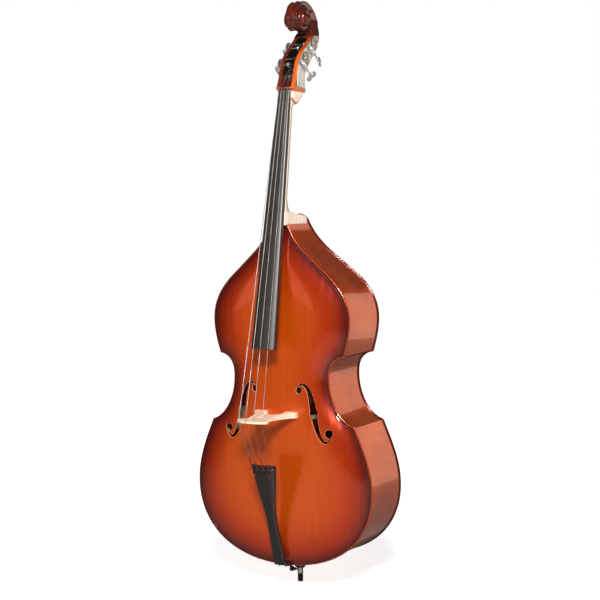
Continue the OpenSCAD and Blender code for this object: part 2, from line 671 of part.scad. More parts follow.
// Screw thread as a surface whose radius depends on the angle and the distance along
module thread() {
    across_n = 18;
    along_n = 30;
    function crest(z, a) = let (u = z / pitch - a / 360) abs(u - floor(u) - 0.5) * pitch;
    function radius(v) = v <= 0.7 ? worm_r + tooth_out : v >= 1.7 ? worm_r - tooth_in
        : worm_r + tooth_out - (v - 0.7) * (tooth_out + tooth_in);
    pts = [for (j = [0 : along_n]) for (k = [0 : across_n - 1])
        let (z = thread_l * (j / along_n - 0.5), a = 360 * k / across_n, r = radius(crest(z, a)))
        [r * cos(a), r * sin(a), z]];
    n = across_n;
    polyhedron(points = concat(pts, [[0, 0, -thread_l / 2], [0, 0, thread_l / 2]]), faces = concat(
        [for (j = [0 : along_n - 1]) for (k = [0 : n - 1]) let (a = j * n + k, b = j * n + (k + 1) % n)
            each [[a, b + n, b], [a, a + n, b + n]]],
        [for (k = [0 : n - 1]) [(along_n + 1) * n, k, (k + 1) % n]],
        [for (k = [0 : n - 1]) [(along_n + 1) * n + 1, along_n * n + (k + 1) % n, along_n * n + k]]));
}
module worm(i) {
    color("silver") body_frame() worm_frame(i) union() {
        thread();
        translate([0, 0, -bracket_s - 5]) cylinder(r = shaft_r, h = bracket_s + key_reach - 2);
    }
}
module key(i) {
    hub_z = key_reach - 10;
    color("silver") body_frame() worm_frame(i) rotate([0, 0, key_turn[i]]) difference() {
        union() {
            translate([0, 0, hub_z - 6]) cylinder(r = 4.5, h = 8);
            for (s = [-1, 1])
                translate([s * 9.5, 2, key_reach]) rotate([90, 0, 0]) cylinder(r = 10.5, h = 4);
            translate([-5, -2, hub_z]) cube([10, 4, 12]);
        }
        translate([0, 0, hub_z - 10]) cylinder(r = shaft_r, h = 13);
    }
}
module roller_e() { roller(0); }
module roller_a() { roller(1); }
module roller_d() { roller(2); }
module roller_g() { roller(3); }
module gear_e() { gear(0); }
module gear_a() { gear(1); }
module gear_d() { gear(2); }
module gear_g() { gear(3); }
module gear_screw_e() { gear_screw(0); }
module gear_screw_a() { gear_screw(1); }
module gear_screw_d() { gear_screw(2); }
module gear_screw_g() { gear_screw(3); }
module worm_e() { worm(0); }
module worm_a() { worm(1); }
module worm_d() { worm(2); }
module worm_g() { worm(3); }
module key_e() { key(0); }
module key_a() { key(1); }
module key_d() { key(2); }
module key_g() { key(3); }

// ---- endpin ----
module pin_frame() { body_frame() translate([0, pin_y, 0]) children(); }
module endpin_collar() {
    top = overhang;
    color("black") pin_frame() rotate_extrude() polygon(concat(
        [[rod_r + bite, top + block_h], [rod_r + bite, -collar_l], [11, -collar_l]],
        curve([[11, -collar_l], [18, -collar_l + 1], [collar_r, -collar_l + 10], [collar_r, -16]], 6),
        [[collar_r, -16], [collar_r, -8], [groove_r, -7], [groove_r, -2], [collar_r - 1, -1.5],
         [collar_r, 0], [collar_r, top], [shank_r, top], [shank_r, top + block_h]]));
}
module endpin_ferrule() {
    color("silver") pin_frame() difference() {
        translate([0, 0, -collar_l - ferrule_l]) cylinder(r = ferrule_r, h = ferrule_l);
        translate([0, 0, -60]) cylinder(r = rod_r + bite, h = 60);
        translate([-20, 0, -collar_l - 7]) across(3, 20);
    }
}
module endpin_rod() {
    color("silver") pin_frame() translate([0, 0, -floor_gap + 6]) cylinder(r = rod_r, h = rod_l);
}
module endpin_tip() {
    low = -floor_gap;
    color("black") pin_frame() rotate_extrude() polygon([[0, low], [tip_r - 2.5, low], [tip_r, low + 3],
        [tip_r, low + tip_l], [rod_r, low + tip_l], [rod_r, low + 6], [0, low + 6]]);
}
module endpin_thumbscrew() {
    color("black") pin_frame() translate([0, 0, -collar_l - 7]) rotate([0, 180, 0]) difference() {
        union() {
            translate([rod_r + 0.3, 0, 0]) across(3 - bite, 20);
            translate([20, 0, 0]) across(5.5, 9);
            translate([28, 0, 0]) across(9, 9);
        }
        for (k = [0 : 7]) rotate([45 * k, 0, 0]) translate([27, 0, 10]) across(2, 11);
    }
}

top_plate();
purfling();
back_plate();
rib_lower_left();
rib_lower_right();
rib_waist_left();
rib_waist_right();
rib_upper_left();
rib_upper_right();
linings_front();
linings_back();
corner_blocks();
neck_block();
end_block();
back_braces();
bass_bar();
sound_post();
neck();
fingerboard();
nut();
saddle();
bridge();
tailpiece();
tailpiece_fret();
tail_wire();
string_e();
string_a();
string_d();
string_g();
string_silks();
tuner_plate_left();
tuner_plate_right();
tuner_plate_screws();
worm_brackets();
roller_e();
roller_a();
roller_d();
roller_g();
gear_e();
gear_a();
gear_d();
gear_g();
gear_screw_e();
gear_screw_a();
gear_screw_d();
gear_screw_g();
worm_e();
worm_a();
worm_d();
worm_g();
key_e();
key_a();
key_d();
key_g();
endpin_collar();
endpin_ferrule();
endpin_rod();
endpin_tip();
endpin_thumbscrew();
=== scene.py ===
"""Looks of a three-quarter double bass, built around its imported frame.

Blender works in metres. Shapes are worked out in millimetres in the body frame:
X right, Y back from the edge of the top plate, Z up from the bottom of the body.
"""
import math

import bmesh
import bpy
import numpy as np
from mathutils import Matrix, Vector
from mathutils.geometry import delaunay_2d_cdt

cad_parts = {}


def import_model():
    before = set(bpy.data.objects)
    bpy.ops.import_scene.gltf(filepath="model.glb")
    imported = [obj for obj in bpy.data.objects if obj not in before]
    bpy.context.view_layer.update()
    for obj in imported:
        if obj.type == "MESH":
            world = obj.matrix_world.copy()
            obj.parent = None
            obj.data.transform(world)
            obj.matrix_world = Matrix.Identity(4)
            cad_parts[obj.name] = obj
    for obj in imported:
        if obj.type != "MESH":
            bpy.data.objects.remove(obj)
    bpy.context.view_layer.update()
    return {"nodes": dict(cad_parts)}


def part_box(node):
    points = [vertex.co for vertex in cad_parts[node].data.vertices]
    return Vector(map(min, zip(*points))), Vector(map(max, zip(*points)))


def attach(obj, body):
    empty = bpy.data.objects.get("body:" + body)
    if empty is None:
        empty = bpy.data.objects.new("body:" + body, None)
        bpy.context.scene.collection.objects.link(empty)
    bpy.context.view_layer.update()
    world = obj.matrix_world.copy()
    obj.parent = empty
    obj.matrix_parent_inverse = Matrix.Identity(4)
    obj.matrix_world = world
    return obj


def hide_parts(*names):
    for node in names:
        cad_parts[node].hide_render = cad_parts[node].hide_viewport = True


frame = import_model()
scene = bpy.context.scene

# ---------------------------------------------------------------- sizes, from the frame
MM = 0.001
FRONT_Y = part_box("purfling")[0].y
BODY_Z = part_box("back_plate")[0].z
BODY_L = (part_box("top_plate")[1].z - BODY_Z) / MM
BODY_D = (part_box("back_plate")[1].y - FRONT_Y) / MM
TOP_T = (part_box("top_plate")[1].y - FRONT_Y) / MM
ARCH_H = (FRONT_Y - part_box("top_plate")[0].y) / MM
LOWER_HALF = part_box("back_plate")[1].x / MM
UPPER_HALF = (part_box("rib_upper_right")[1].x / MM) + 4
WAIST_HALF = (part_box("rib_waist_right")[0].x / MM) + 6.5
BACK_T = 6
HEEL_D = 152
BACK_BREAK = 937
JOINT_X = 33.5
OVERHANG = 4
RIB_T = 2.5
NUT_Y, NUT_Z = 45, 1541
BOARD_LEAN = math.radians(11.7)
BOARD_L = 838
BOARD_R = 78
BRIDGE_Z = 496
BRIDGE_R = 125
BRIDGE_REACH = 202
PIN_Y = BODY_D / 2
STRING_R = [1.35, 1.1, 0.9, 0.7]
LETTERS = "eadg"
NUT_GAP, BRIDGE_GAP, TAIL_GAP = 10.4, 28.7, 20


def world(p):
    """Body-frame millimetres to scene metres."""
    p = np.asarray(p, float)
    return p * MM + np.array([0, FRONT_Y, BODY_Z])


def local(p):
    """Scene metres to body-frame millimetres."""
    return (np.asarray(p, float) - np.array([0, FRONT_Y, BODY_Z])) / MM


# ---------------------------------------------------------------- curves and outlines
def bezier(a, b, c, d, n):
    """n points of a cubic curve, its last point left out."""
    t = (np.arange(n) / n)[:, None]
    a, b, c, d = (np.asarray(q, float) for q in (a, b, c, d))
    return a * (1 - t) ** 3 + 3 * b * t * (1 - t) ** 2 + 3 * c * t * t * (1 - t) + d * t ** 3


def even(points, step, closed=False):
    """The same line with its points evenly spaced, about step apart."""
    p = np.asarray(points, float)
    if closed:
        p = np.vstack([p, p[:1]])
    s = np.concatenate([[0], np.cumsum(np.linalg.norm(np.diff(p, axis=0), axis=1))])
    n = max(2, int(round(s[-1] / step)) + 1)
    at = np.linspace(0, s[-1], n)
    q = np.stack([np.interp(at, s, p[:, k]) for k in range(p.shape[1])], 1)
    return q[:-1] if closed else q


def smooth_line(points, n):
    """n points of a Catmull-Rom line through the given points."""
    p = np.asarray(points, float)
    p = np.vstack([2 * p[0] - p[1], p, 2 * p[-1] - p[-2]])
    at = np.linspace(0, len(p) - 3, n)
    k = np.minimum(at.astype(int), len(p) - 4)
    t = (at - k)[:, None]
    a, b, c, d = p[k], p[k + 1], p[k + 2], p[k + 3]
    return 0.5 * (2 * b + (c - a) * t + (2 * a - 5 * b + 4 * c - d) * t ** 2
                  + (3 * b - a - 3 * c + d) * t ** 3)


LOW_CORNER = np.array([LOWER_HALF - 60, 0.419 * BODY_L])
HIGH_CORNER = np.array([UPPER_HALF - 22, 0.617 * BODY_L])
LOW_Z, WAIST_Z, HIGH_Z = 0.231 * BODY_L, 0.552 * BODY_L, 0.72 * BODY_L
SHOULDER = np.array([150, 0.871 * BODY_L])


def bout_lines(step=5):
    """The right half of the outline in X and Z, as its lower, waist and upper stretch."""
    lw, ww, uw = LOWER_HALF, WAIST_HALF, UPPER_HALF
    low = [bezier((0, 0), (190, 0), (lw, 95), (lw, LOW_Z), 80),
           bezier((lw, LOW_Z), (lw, LOW_Z + 87), LOW_CORNER + (20, -53), LOW_CORNER, 60),
           [LOW_CORNER]]
    waist = [bezier(LOW_CORNER, (ww + 38, LOW_CORNER[1] + 12), (ww, WAIST_Z - 71), (ww, WAIST_Z), 60),
             bezier((ww, WAIST_Z), (ww - 1, WAIST_Z + 44), (ww + 18, HIGH_CORNER[1] - 4), HIGH_CORNER, 40),
             [HIGH_CORNER]]
    high = [bezier(HIGH_CORNER, HIGH_CORNER + (12, 39), (uw, HIGH_Z - 38), (uw, HIGH_Z), 50),
            bezier((uw, HIGH_Z), (uw, HIGH_Z + 77), (200, SHOULDER[1] - 40), SHOULDER, 60),
            bezier(SHOULDER, SHOULDER + (-38, 39), (56, BODY_L - 72), (JOINT_X, BODY_L), 60),
            [(JOINT_X, BODY_L)]]
    return [even(np.vstack(part), step) for part in (low, waist, high)]


BOUTS = bout_lines()
HALF = np.vstack([BOUTS[0], BOUTS[1][1:], BOUTS[2][1:]])
MIRROR = HALF[::-1][:-1] * (-1, 1)
OUTLINE = np.vstack([HALF, MIRROR])
BUTTON = [(JOINT_X * math.cos(a), BODY_L - 4 + JOINT_X * math.sin(a))
          for a in np.linspace(0.25, math.pi - 0.25, 17)]
BACK_OUTLINE = np.vstack([HALF[:-1], BUTTON, MIRROR[1:]])


def inset(loop, d):
    """A closed anticlockwise loop moved inwards by d, with mitred corners."""
    loop = np.asarray(loop, float)
    a = loop - np.roll(loop, 1, 0)
    a /= np.linalg.norm(a, axis=1)[:, None]
    b = np.roll(a, -1, 0)
    m = np.stack([-(a + b)[:, 1], (a + b)[:, 0]], 1)
    return loop + 2 * d * m / (m * m).sum(1)[:, None]


def back_y(z):
    """Y of the outside of the back, with a soft bend."""
    slope = (BODY_D - HEEL_D) / (BODY_L - BACK_BREAK)
    over = np.asarray(z, float) - BACK_BREAK
    soft = 14
    return BODY_D - slope * 0.5 * (over + np.sqrt(over ** 2 + soft ** 2))


def inside(points, loop):
    """Which points lie in a closed loop."""
    p, q = np.asarray(loop, float), np.roll(np.asarray(loop, float), -1, 0)
    x, y = points[:, 0][:, None], points[:, 1][:, None]
    crosses = (p[:, 1] > y) != (q[:, 1] > y)
    rise = np.where(q[:, 1] == p[:, 1], 1e-9, q[:, 1] - p[:, 1])
    left = x < p[:, 0] + (y - p[:, 1]) * (q[:, 0] - p[:, 0]) / rise
    return (crosses & left).sum(1) % 2 == 1


def distance(points, loop):
    """Distance of each point to a closed loop."""
    p, q = np.asarray(loop, float), np.roll(np.asarray(loop, float), -1, 0)
    v = q - p
    best = np.full(len(points), 1e9)
    for k in range(len(p)):
        w = points - p[k]
        t = np.clip((w @ v[k]) / max(v[k] @ v[k], 1e-12), 0, 1)
        best = np.minimum(best, np.linalg.norm(w - t[:, None] * v[k], axis=1))
    return best


# ---------------------------------------------------------------- arch of the top plate
class Membrane:
    """A smooth dome over the outline: 0 at the edge and near 1 in the middle of each bout."""
    step = 4.0
    reach = 105.0

    def __init__(self):
        self.x0, self.z0 = -LOWER_HALF - 12, -12
        nx = int((2 * LOWER_HALF + 24) / self.step) + 1
        nz = int((BODY_L + 24) / self.step) + 1
        xs = self.x0 + self.step * np.arange(nx)
        zs = self.z0 + self.step * np.arange(nz)
        width = np.interp(zs, HALF[:, 1], HALF[:, 0], left=-1, right=-1)
        mask = np.abs(xs)[None, :] < width[:, None]
        k2 = (self.step / self.reach) ** 2
        u = np.zeros(mask.shape)
        r = np.where(mask, k2, 0.0)
        p = r.copy()
        rr = (r * r).sum()
        for _ in range(400):
            ap = (4 + k2) * p
            ap[1:] -= p[:-1]
            ap[:-1] -= p[1:]
            ap[:, 1:] -= p[:, :-1]
            ap[:, :-1] -= p[:, 1:]
            ap = np.where(mask, ap, 0)
            alpha = rr / (p * ap).sum()
            u += alpha * p
            r -= alpha * ap
            new = (r * r).sum()
            if new < 1e-14:
                break
            p = r + new / rr * p
            rr = new
        for _ in range(10):
            u = (u + np.roll(u, 1, 0) + np.roll(u, -1, 0)) / 3
            u = (u + np.roll(u, 1, 1) + np.roll(u, -1, 1)) / 3
        self.u = u / u.max()

    def __call__(self, x, z):
        a = (np.asarray(x, float) - self.x0) / self.step
        b = (np.asarray(z, float) - self.z0) / self.step
        i, j = np.floor(a).astype(int), np.floor(b).astype(int)
        i, j = np.clip(i, 0, self.u.shape[1] - 2), np.clip(j, 0, self.u.shape[0] - 2)
        s, t = a - i, b - j
        s, t = s * s * (3 - 2 * s), t * t * (3 - 2 * t)
        u = self.u
        return ((u[j, i] * (1 - s) + u[j, i + 1] * s) * (1 - t)
                + (u[j + 1, i] * (1 - s) + u[j + 1, i + 1] * s) * t)


dome = Membrane()


def arch(x, z):
    """How far the outside of the top stands in front of its edge."""
    u = np.clip(dome(x, z), 0, 1)
    lift = np.clip((u - 0.045) / 0.7, 0, 1)
    return (ARCH_H - 1.0) * (0.45 * lift * lift * (3 - 2 * lift) + 0.55 * (1 - (1 - lift) ** 2))


def on_arch(loop, behind):
    """A line of X and Z points laid on the top, some way behind its outside."""
    return np.stack([loop[:, 0], behind - arch(loop[:, 0], loop[:, 1]), loop[:, 1]], 1)


# ---------------------------------------------------------------- mesh helpers
def closed_mesh(name, verts, faces):
    """A mesh of points in metres, with its faces turned outwards."""
    mesh = bpy.data.meshes.new(name)
    mesh.from_pydata([tuple(v) for v in verts], [], [tuple(int(i) for i in f) for f in faces])
    bm = bmesh.new()
    bm.from_mesh(mesh)
    bmesh.ops.recalc_face_normals(bm, faces=bm.faces)
    bm.to_mesh(mesh)
    bm.free()
    return mesh


def piece(name, verts, faces, material, body="root", stands_for=(), smooth=35):
    """A mesh object from body-frame millimetres, riding on a body and standing for CAD nodes."""
    verts = world(verts)
    mesh = closed_mesh(name, verts, faces)
    mesh.shade_smooth()
    mesh.set_sharp_from_angle(angle=math.radians(smooth))
    ob = bpy.data.objects.new(name, mesh)
    scene.collection.objects.link(ob)
    mesh.materials.append(material)
    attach(ob, body)
    if stands_for:
        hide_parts(*stands_for)
    return ob


def loft(rings, caps=True):
    """Faces between rings of equal length, each ring closed."""
    rings = [np.asarray(r, float) for r in rings]
    n = len(rings[0])
    faces = []
    for j in range(len(rings) - 1):
        for k in range(n):
            a, b = j * n + k, j * n + (k + 1) % n
            faces.append((a, b, b + n, a + n))
    if caps:
        faces.append(tuple(range(n)))
        faces.append(tuple((len(rings) - 1) * n + k for k in range(n)))
    return np.vstack(rings), faces


def merge(*parts):
    """Several (verts, faces) as one."""
    verts, faces, base = [], [], 0
    for v, f in parts:
        verts.append(np.asarray(v, float))
        faces += [tuple(i + base for i in face) for face in f]
        base += len(v)
    return np.vstack(verts), faces


def tube(path, radius, sides=12):
    """A round tube along a path, with closed ends."""
    path = np.asarray(path, float)
    radius = np.broadcast_to(radius, len(path))
    tangent = np.gradient(path, axis=0)
    tangent /= np.linalg.norm(tangent, axis=1)[:, None]
    side = np.cross(tangent[0], (0.3, 0.2, 0.93))
    rings = []
    for k in range(len(path)):
        side = side - (side @ tangent[k]) * tangent[k]
        side /= np.linalg.norm(side)
        up = np.cross(tangent[k], side)
        a = np.arange(sides) * 2 * math.pi / sides
        rings.append(path[k] + radius[k] * (np.cos(a)[:, None] * side + np.sin(a)[:, None] * up))
    return loft(rings)


def lathe(profile, centre=(0, 0, 0), axis=(0, 0, 1), sides=48):
    """A profile of (radius, height) pairs turned round an axis. Radii above 0, ends capped."""
    axis = np.asarray(axis, float) / np.linalg.norm(axis)
    u = np.array([1.0, 0, 0]) - axis[0] * axis
    if np.linalg.norm(u) < 1e-6:
        u = np.cross(axis, (0, 1, 0.1))
    u /= np.linalg.norm(u)
    v = np.cross(axis, u)
    a = np.arange(sides) * 2 * math.pi / sides
    circle = np.cos(a)[:, None] * u + np.sin(a)[:, None] * v
    return loft([np.asarray(centre) + r * circle + h * axis for r, h in profile])


def bevel(ob, width, segments=2, angle=35):
    m = ob.modifiers.new("bevel", "BEVEL")
    m.width = width * MM
    m.segments = segments
    m.limit_method = "ANGLE"
    m.angle_limit = math.radians(angle)
    return ob


def loop_edges(loops):
    """The edges of closed loops whose points are numbered one loop after another."""
    edges, base = [], 0
    for loop in loops:
        n = len(loop)
        edges += [(base + k, base + (k + 1) % n) for k in range(n)]
        base += n
    return edges


def triangulate(loops, extra, keep):
    """Triangles over 2D points: the loops' edges are kept, and keep() picks triangles by their centres.

    Returns the points, the triangles, and where each given point went."""
    pts = np.vstack([*loops, extra])
    verts, _, faces, origin, *_ = delaunay_2d_cdt([Vector(p) for p in pts], loop_edges(loops), [], 0, 1e-5)
    verts = np.array([tuple(v) for v in verts])
    faces = np.array([f for f in faces if len(f) == 3])
    where = np.full(len(pts), -1)
    for k, sources in enumerate(origin):
        where[list(sources)] = k
    centres = verts[faces].mean(1)
    faces = faces[keep(centres)]
    used = np.unique(faces)
    renum = np.full(len(verts), -1)
    renum[used] = np.arange(len(used))
    return verts[used], renum[faces], renum[where]


def hex_grid(loop, step):
    low, high = loop.min(0), loop.max(0)
    rows = []
    for j, z in enumerate(np.arange(low[1], high[1], step * 0.866)):
        x = np.arange(low[0] + (j % 2) * step / 2, high[0], step)
        rows.append(np.stack([x, np.full(len(x), z)], 1))
    return np.vstack(rows)


def border(faces):
    """The border edges of a triangle mesh, each in its face's direction."""
    e = np.vstack([faces[:, [0, 1]], faces[:, [1, 2]], faces[:, [2, 0]]])
    seen = {}
    for a, b in e:
        seen[(a, b)] = True
    return [(a, b) for a, b in seen if (b, a) not in seen]


def plate(name, outline, holes, outer_y, inner_y, material, stands_for, grid=7.0):
    """A plate with a rounded edge. outer_y and inner_y give its two faces for X and Z."""
    rim = 5.0
    ring = inset(outline, rim)
    extra = hex_grid(ring, grid)
    ok = inside(extra, ring) & (distance(extra, ring) > grid * 0.5)
    for h in holes:
        ok &= distance(extra, h) > grid * 0.35

    def keep(c):
        solid = inside(c, ring)
        for hole in holes:
            solid &= ~inside(c, hole)
        return solid

    flat, tris, where = triangulate([ring] + list(holes), extra[ok], keep)
    n = len(flat)
    outer = np.stack([flat[:, 0], outer_y(flat[:, 0], flat[:, 1]), flat[:, 1]], 1)
    inner = np.stack([flat[:, 0], inner_y(flat[:, 0], flat[:, 1]), flat[:, 1]], 1)
    faces = [tuple(t) for t in tris] + [tuple(t[::-1] + n) for t in tris]
    ring_ids = where[:len(ring)]
    on_ring = set(ring_ids)
    for a, b in border(tris):
        if not (a in on_ring and b in on_ring):
            faces.append((b, a, a + n, b + n))
    # the rounded rim: (inset, share of the thickness)
    profile = [(3.2, 0.0), (1.6, 0.05), (0.5, 0.2), (0.0, 0.42), (0.0, 0.6), (0.45, 0.82), (1.5, 0.96),
               (3.0, 1.0)]
    rows = [ring_ids]
    verts = [outer, inner]
    base = 2 * n
    y0 = outer_y(ring[:, 0], ring[:, 1])
    y1 = inner_y(ring[:, 0], ring[:, 1])
    for d, share in profile:
        loop = inset(outline, d)
        verts.append(np.stack([loop[:, 0], y0 + (y1 - y0) * share, loop[:, 1]], 1))
        rows.append(base + np.arange(len(loop)))
        base += len(loop)
    rows.append(ring_ids + n)
    for r, s in zip(rows[:-1], rows[1:]):
        for k in range(len(ring)):
            k2 = (k + 1) % len(ring)
            faces.append((r[k], r[k2], s[k2], s[k]))
    ob = piece(name, np.vstack(verts), faces, material, stands_for=stands_for, smooth=50)
    paint_edges(ob, outline)
    return ob


def paint_edges(ob, outline):
    """Stores how far each point is from the plate's edge (mm) and how deep it is in the sunburst."""
    co = np.array([v.co for v in ob.data.vertices])
    p = local(co)
    d = np.where(inside(p[:, [0, 2]], outline), distance(p[:, [0, 2]], outline), 0)
    store(ob, "edge_mm", d)
    store(ob, "burst", np.clip(dome(p[:, 0], p[:, 2]), 0, 1))


def store(ob, name, values):
    layer = ob.data.attributes.new(name, "FLOAT", "POINT")
    layer.data.foreach_set("value", np.asarray(values, np.float32))


# ---------------------------------------------------------------- materials
class Nodes:
    """A short way to build a material's node tree."""

    def __init__(self, name, rough, coat=0.0, metal=0.0, coat_rough=0.04):
        self.mat = bpy.data.materials.new(name)
        self.mat.use_nodes = True
        self.tree = self.mat.node_tree
        self.bsdf = self.tree.nodes["Principled BSDF"]
        self.set("Roughness", rough)
        self.set("Metallic", metal)
        self.set("Coat Weight", coat)
        self.set("Coat Roughness", coat_rough)

    def set(self, socket, value):
        if isinstance(value, bpy.types.NodeSocket):
            self.tree.links.new(value, self.bsdf.inputs[socket])
        else:
            self.bsdf.inputs[socket].default_value = value

    def node(self, kind, **inputs):
        n = self.tree.nodes.new(kind)
        for key, value in inputs.items():
            self.feed(n, key, value)
        return n

    def feed(self, n, key, value):
        socket = n.inputs[int(key[1:])] if key[0] == "_" else n.inputs[key]
        if isinstance(value, bpy.types.NodeSocket):
            self.tree.links.new(value, socket)
        else:
            socket.default_value = value

    def math(self, operation, a, b=0.0):
        n = self.node("ShaderNodeMath", _0=a, _1=b)
        n.operation = operation
        return n.outputs[0]

    def place(self, scale):
        """Object coordinates in metres, scaled along each axis."""
        at = self.node("ShaderNodeTexCoord").outputs["Object"]
        m = self.node("ShaderNodeMapping", Vector=at, Scale=scale)
        return m.outputs[0]

    def noise(self, scale, detail=3.0, rough=0.5, stretch=(1, 1, 1)):
        n = self.node("ShaderNodeTexNoise", Vector=self.place(stretch), Scale=scale, Detail=detail,
                      Roughness=rough)
        return n.outputs[0]

    def ramp(self, factor, stops):
        n = self.node("ShaderNodeValToRGB", Fac=factor)
        while len(n.color_ramp.elements) < len(stops):
            n.color_ramp.elements.new(0.5)
        for e, (at, colour) in zip(n.color_ramp.elements, stops):
            e.position = at
            e.color = (*colour, 1)
        return n.outputs[0]

    def mix(self, factor, a, b, blend="MIX"):
        n = self.tree.nodes.new("ShaderNodeMix")
        n.data_type = "RGBA"
        n.blend_type = blend
        for socket, value in (("Factor", factor), ("A", a), ("B", b)):
            i = [s for s in n.inputs if s.name == socket and (socket == "Factor" or s.type == "RGBA")][0]
            if isinstance(value, bpy.types.NodeSocket):
                self.tree.links.new(value, i)
            else:
                i.default_value = value if socket == "Factor" else (*value, 1)
        return [s for s in n.outputs if s.type == "RGBA"][0]

    def bump(self, height, strength, distance=0.0005):
        n = self.node("ShaderNodeBump", Height=height, Strength=strength, Distance=distance)
        self.set("Normal", n.outputs[0])

    def attribute(self, name):
        n = self.tree.nodes.new("ShaderNodeAttribute")
        n.attribute_name = name
        return n.outputs["Fac"]


AMBER = (0.78, 0.105, 0.004)
ORANGE = (0.56, 0.046, 0.003)
RED = (0.27, 0.013, 0.002)
BROWN = (0.100, 0.006, 0.001)
SEAM_SHADE_COLOUR = (0.020, 0.003, 0.001)


def varnish(name, colour, rough=0.25, coat_rough=0.03, sheen=0.6, bump=0.05):
    """A glossy clear varnish over wood. The wood below shines a little in its own colour."""
    m = Nodes(name, rough, coat=1.0, coat_rough=coat_rough, metal=sheen)
    m.set("Base Color", colour(m))
    fine = m.noise(900, 3, 0.6, (1, 1, 0.05))
    m.bump(fine, bump, 0.0003)
    wave = m.noise(9, 2, 0.4)
    n = m.node("ShaderNodeBump", Height=wave, Strength=0.10, Distance=0.0015)
    m.set("Coat Normal", n.outputs[0])
    m.set("Coat IOR", 1.52)
    return m.mat


def spruce_colour(m):
    """Sunburst over straight grain: amber in the middle, dark towards the edge, an orange band along the
    rounded rim.
    """
    edge = m.attribute("edge_mm")
    cloud = m.math("MULTIPLY", m.math("SUBTRACT", m.noise(4, 2), 0.5), 0.25)
    level = m.math("ADD", m.attribute("burst"), cloud)
    wood = m.ramp(level, [(0.0, BROWN), (0.17, RED), (0.50, ORANGE), (0.85, AMBER)])
    shade = m.ramp(m.math("DIVIDE", edge, 40.0),
                   [(0.0, (0.55, 0.5, 0.45)), (0.3, (0.75, 0.7, 0.65)), (1.0, (1, 1, 1))])
    wood = m.mix(1.0, wood, shade, "MULTIPLY")
    rim = m.math("MULTIPLY", m.math("LESS_THAN", edge, 3.4), 0.85)
    wood = m.mix(rim, wood, ORANGE)
    grain = m.noise(420, 2, 0.5, (1, 0.1, 0.005))
    line = m.ramp(grain, [(0.38, (0.86, 0.82, 0.78)), (0.52, (1, 1, 1)), (0.66, (1.05, 1.04, 1.02))])
    return m.mix(0.7, wood, line, "MULTIPLY")


def back_colour(m):
    edge = m.attribute("edge_mm")
    burst = m.math("MULTIPLY", m.attribute("burst"), 0.8)
    level = m.math("ADD", burst, m.math("MULTIPLY", m.noise(4, 2), 0.2))
    wood = m.ramp(level, [(0.05, BROWN), (0.3, RED), (0.75, ORANGE), (0.95, AMBER)])
    flame = m.noise(26, 3, 0.6, (0.35, 1, 2.2))
    tone = m.ramp(flame, [(0.35, (0.82, 0.76, 0.7)), (0.6, (1.1, 1.08, 1.04))])
    dark = m.ramp(m.math("DIVIDE", edge, 26.0), [(0.0, (0.5, 0.4, 0.4)), (1.0, (1, 1, 1))])
    wood = m.mix(0.7, wood, tone, "MULTIPLY")
    return m.mix(1.0, wood, dark, "MULTIPLY")


def rib_colour(m):
    cloud = m.noise(5, 2, 0.5)
    wood = m.ramp(cloud,
                  [(0.25, (0.40, 0.045, 0.003)), (0.5, (0.58, 0.078, 0.005)), (0.75, (0.74, 0.120, 0.008))])
    flame = m.noise(60, 2, 0.5, (1, 0.3, 1.4))
    tone = m.ramp(flame, [(0.35, (0.88, 0.85, 0.82)), (0.65, (1.06, 1.05, 1.02))])
    wood = m.mix(0.7, wood, tone, "MULTIPLY")
    # Painted shade: darker towards the plates, where their overhang shades the rib.
    return m.mix(m.math("MULTIPLY", m.attribute("seam_shade"), 0.7), wood, SEAM_SHADE_COLOUR)


def head_colour(m):
    """Dark red brown varnish on the head, pale bare wood on the neck, a painted orange highlight along the
    front edges (mostly the right cheek), an orange band by the nut, and painted shade deep in the pegbox.
    """
    grain = m.noise(90, 3, 0.6, (1, 0.5, 0.25))
    dark = m.ramp(grain, [(0.3, (0.035, 0.005, 0.003)), (0.55, (0.085, 0.010, 0.004)),
                          (0.75, (0.15, 0.020, 0.005))])
    lit_edge_and_nut_band = m.ramp(grain, [(0.3, (0.50, 0.070, 0.006)), (0.7, (0.75, 0.140, 0.010))])
    bare = m.ramp(m.noise(180, 3, 0.5, (1, 1, 0.04)), [(0.3, (0.80, 0.66, 0.55)), (0.7, (0.93, 0.83, 0.75))])
    # Painted highlight: orange along the cheeks' front edges, mostly on the right cheek, plus an orange band
    # by the nut.
    wood = m.mix(m.attribute("lit_edge_and_nut_band"), dark, lit_edge_and_nut_band)
    # Painted shade: near black deep inside the pegbox.
    wood = m.mix(m.attribute("hollow"), wood, (0.010, 0.007, 0.006))
    return m.mix(m.attribute("bare"), wood, bare)


def plain_wood(name, light, dark, rough=0.55, coat=0.0, stretch=(1, 1, 0.04), scale=220, bump=0.25):
    m = Nodes(name, rough, coat)
    grain = m.noise(scale, 4, 0.6, stretch)
    m.set("Base Color", m.ramp(grain, [(0.32, dark), (0.68, light)]))
    m.bump(grain, bump, 0.0004)
    return m.mat


def metal(name, colour, rough, brushed=(1, 1, 1), scale=600, bump=0.1, spread=0.12, pure=1.0):
    m = Nodes(name, rough, metal=pure)
    n = m.noise(scale, 3, 0.6, brushed)
    m.set("Base Color", m.ramp(n, [(0.3, tuple(0.82 * c for c in colour)), (0.7, colour)]))
    m.set("Roughness", m.math("ADD", m.math("MULTIPLY", n, spread), rough - spread / 2))
    m.bump(n, bump, 0.0002)
    return m.mat


def black(name, level, rough, coat=0.0, stretch=(1, 1, 0.05), scale=400, bump=0.15, coat_rough=0.1):
    m = Nodes(name, rough, coat, coat_rough=coat_rough)
    n = m.noise(scale, 4, 0.6, stretch)
    m.set("Base Color", m.ramp(n, [(0.35, tuple(0.6 * c for c in level)), (0.7, level)]))
    m.bump(n, bump, 0.0003)
    return m.mat


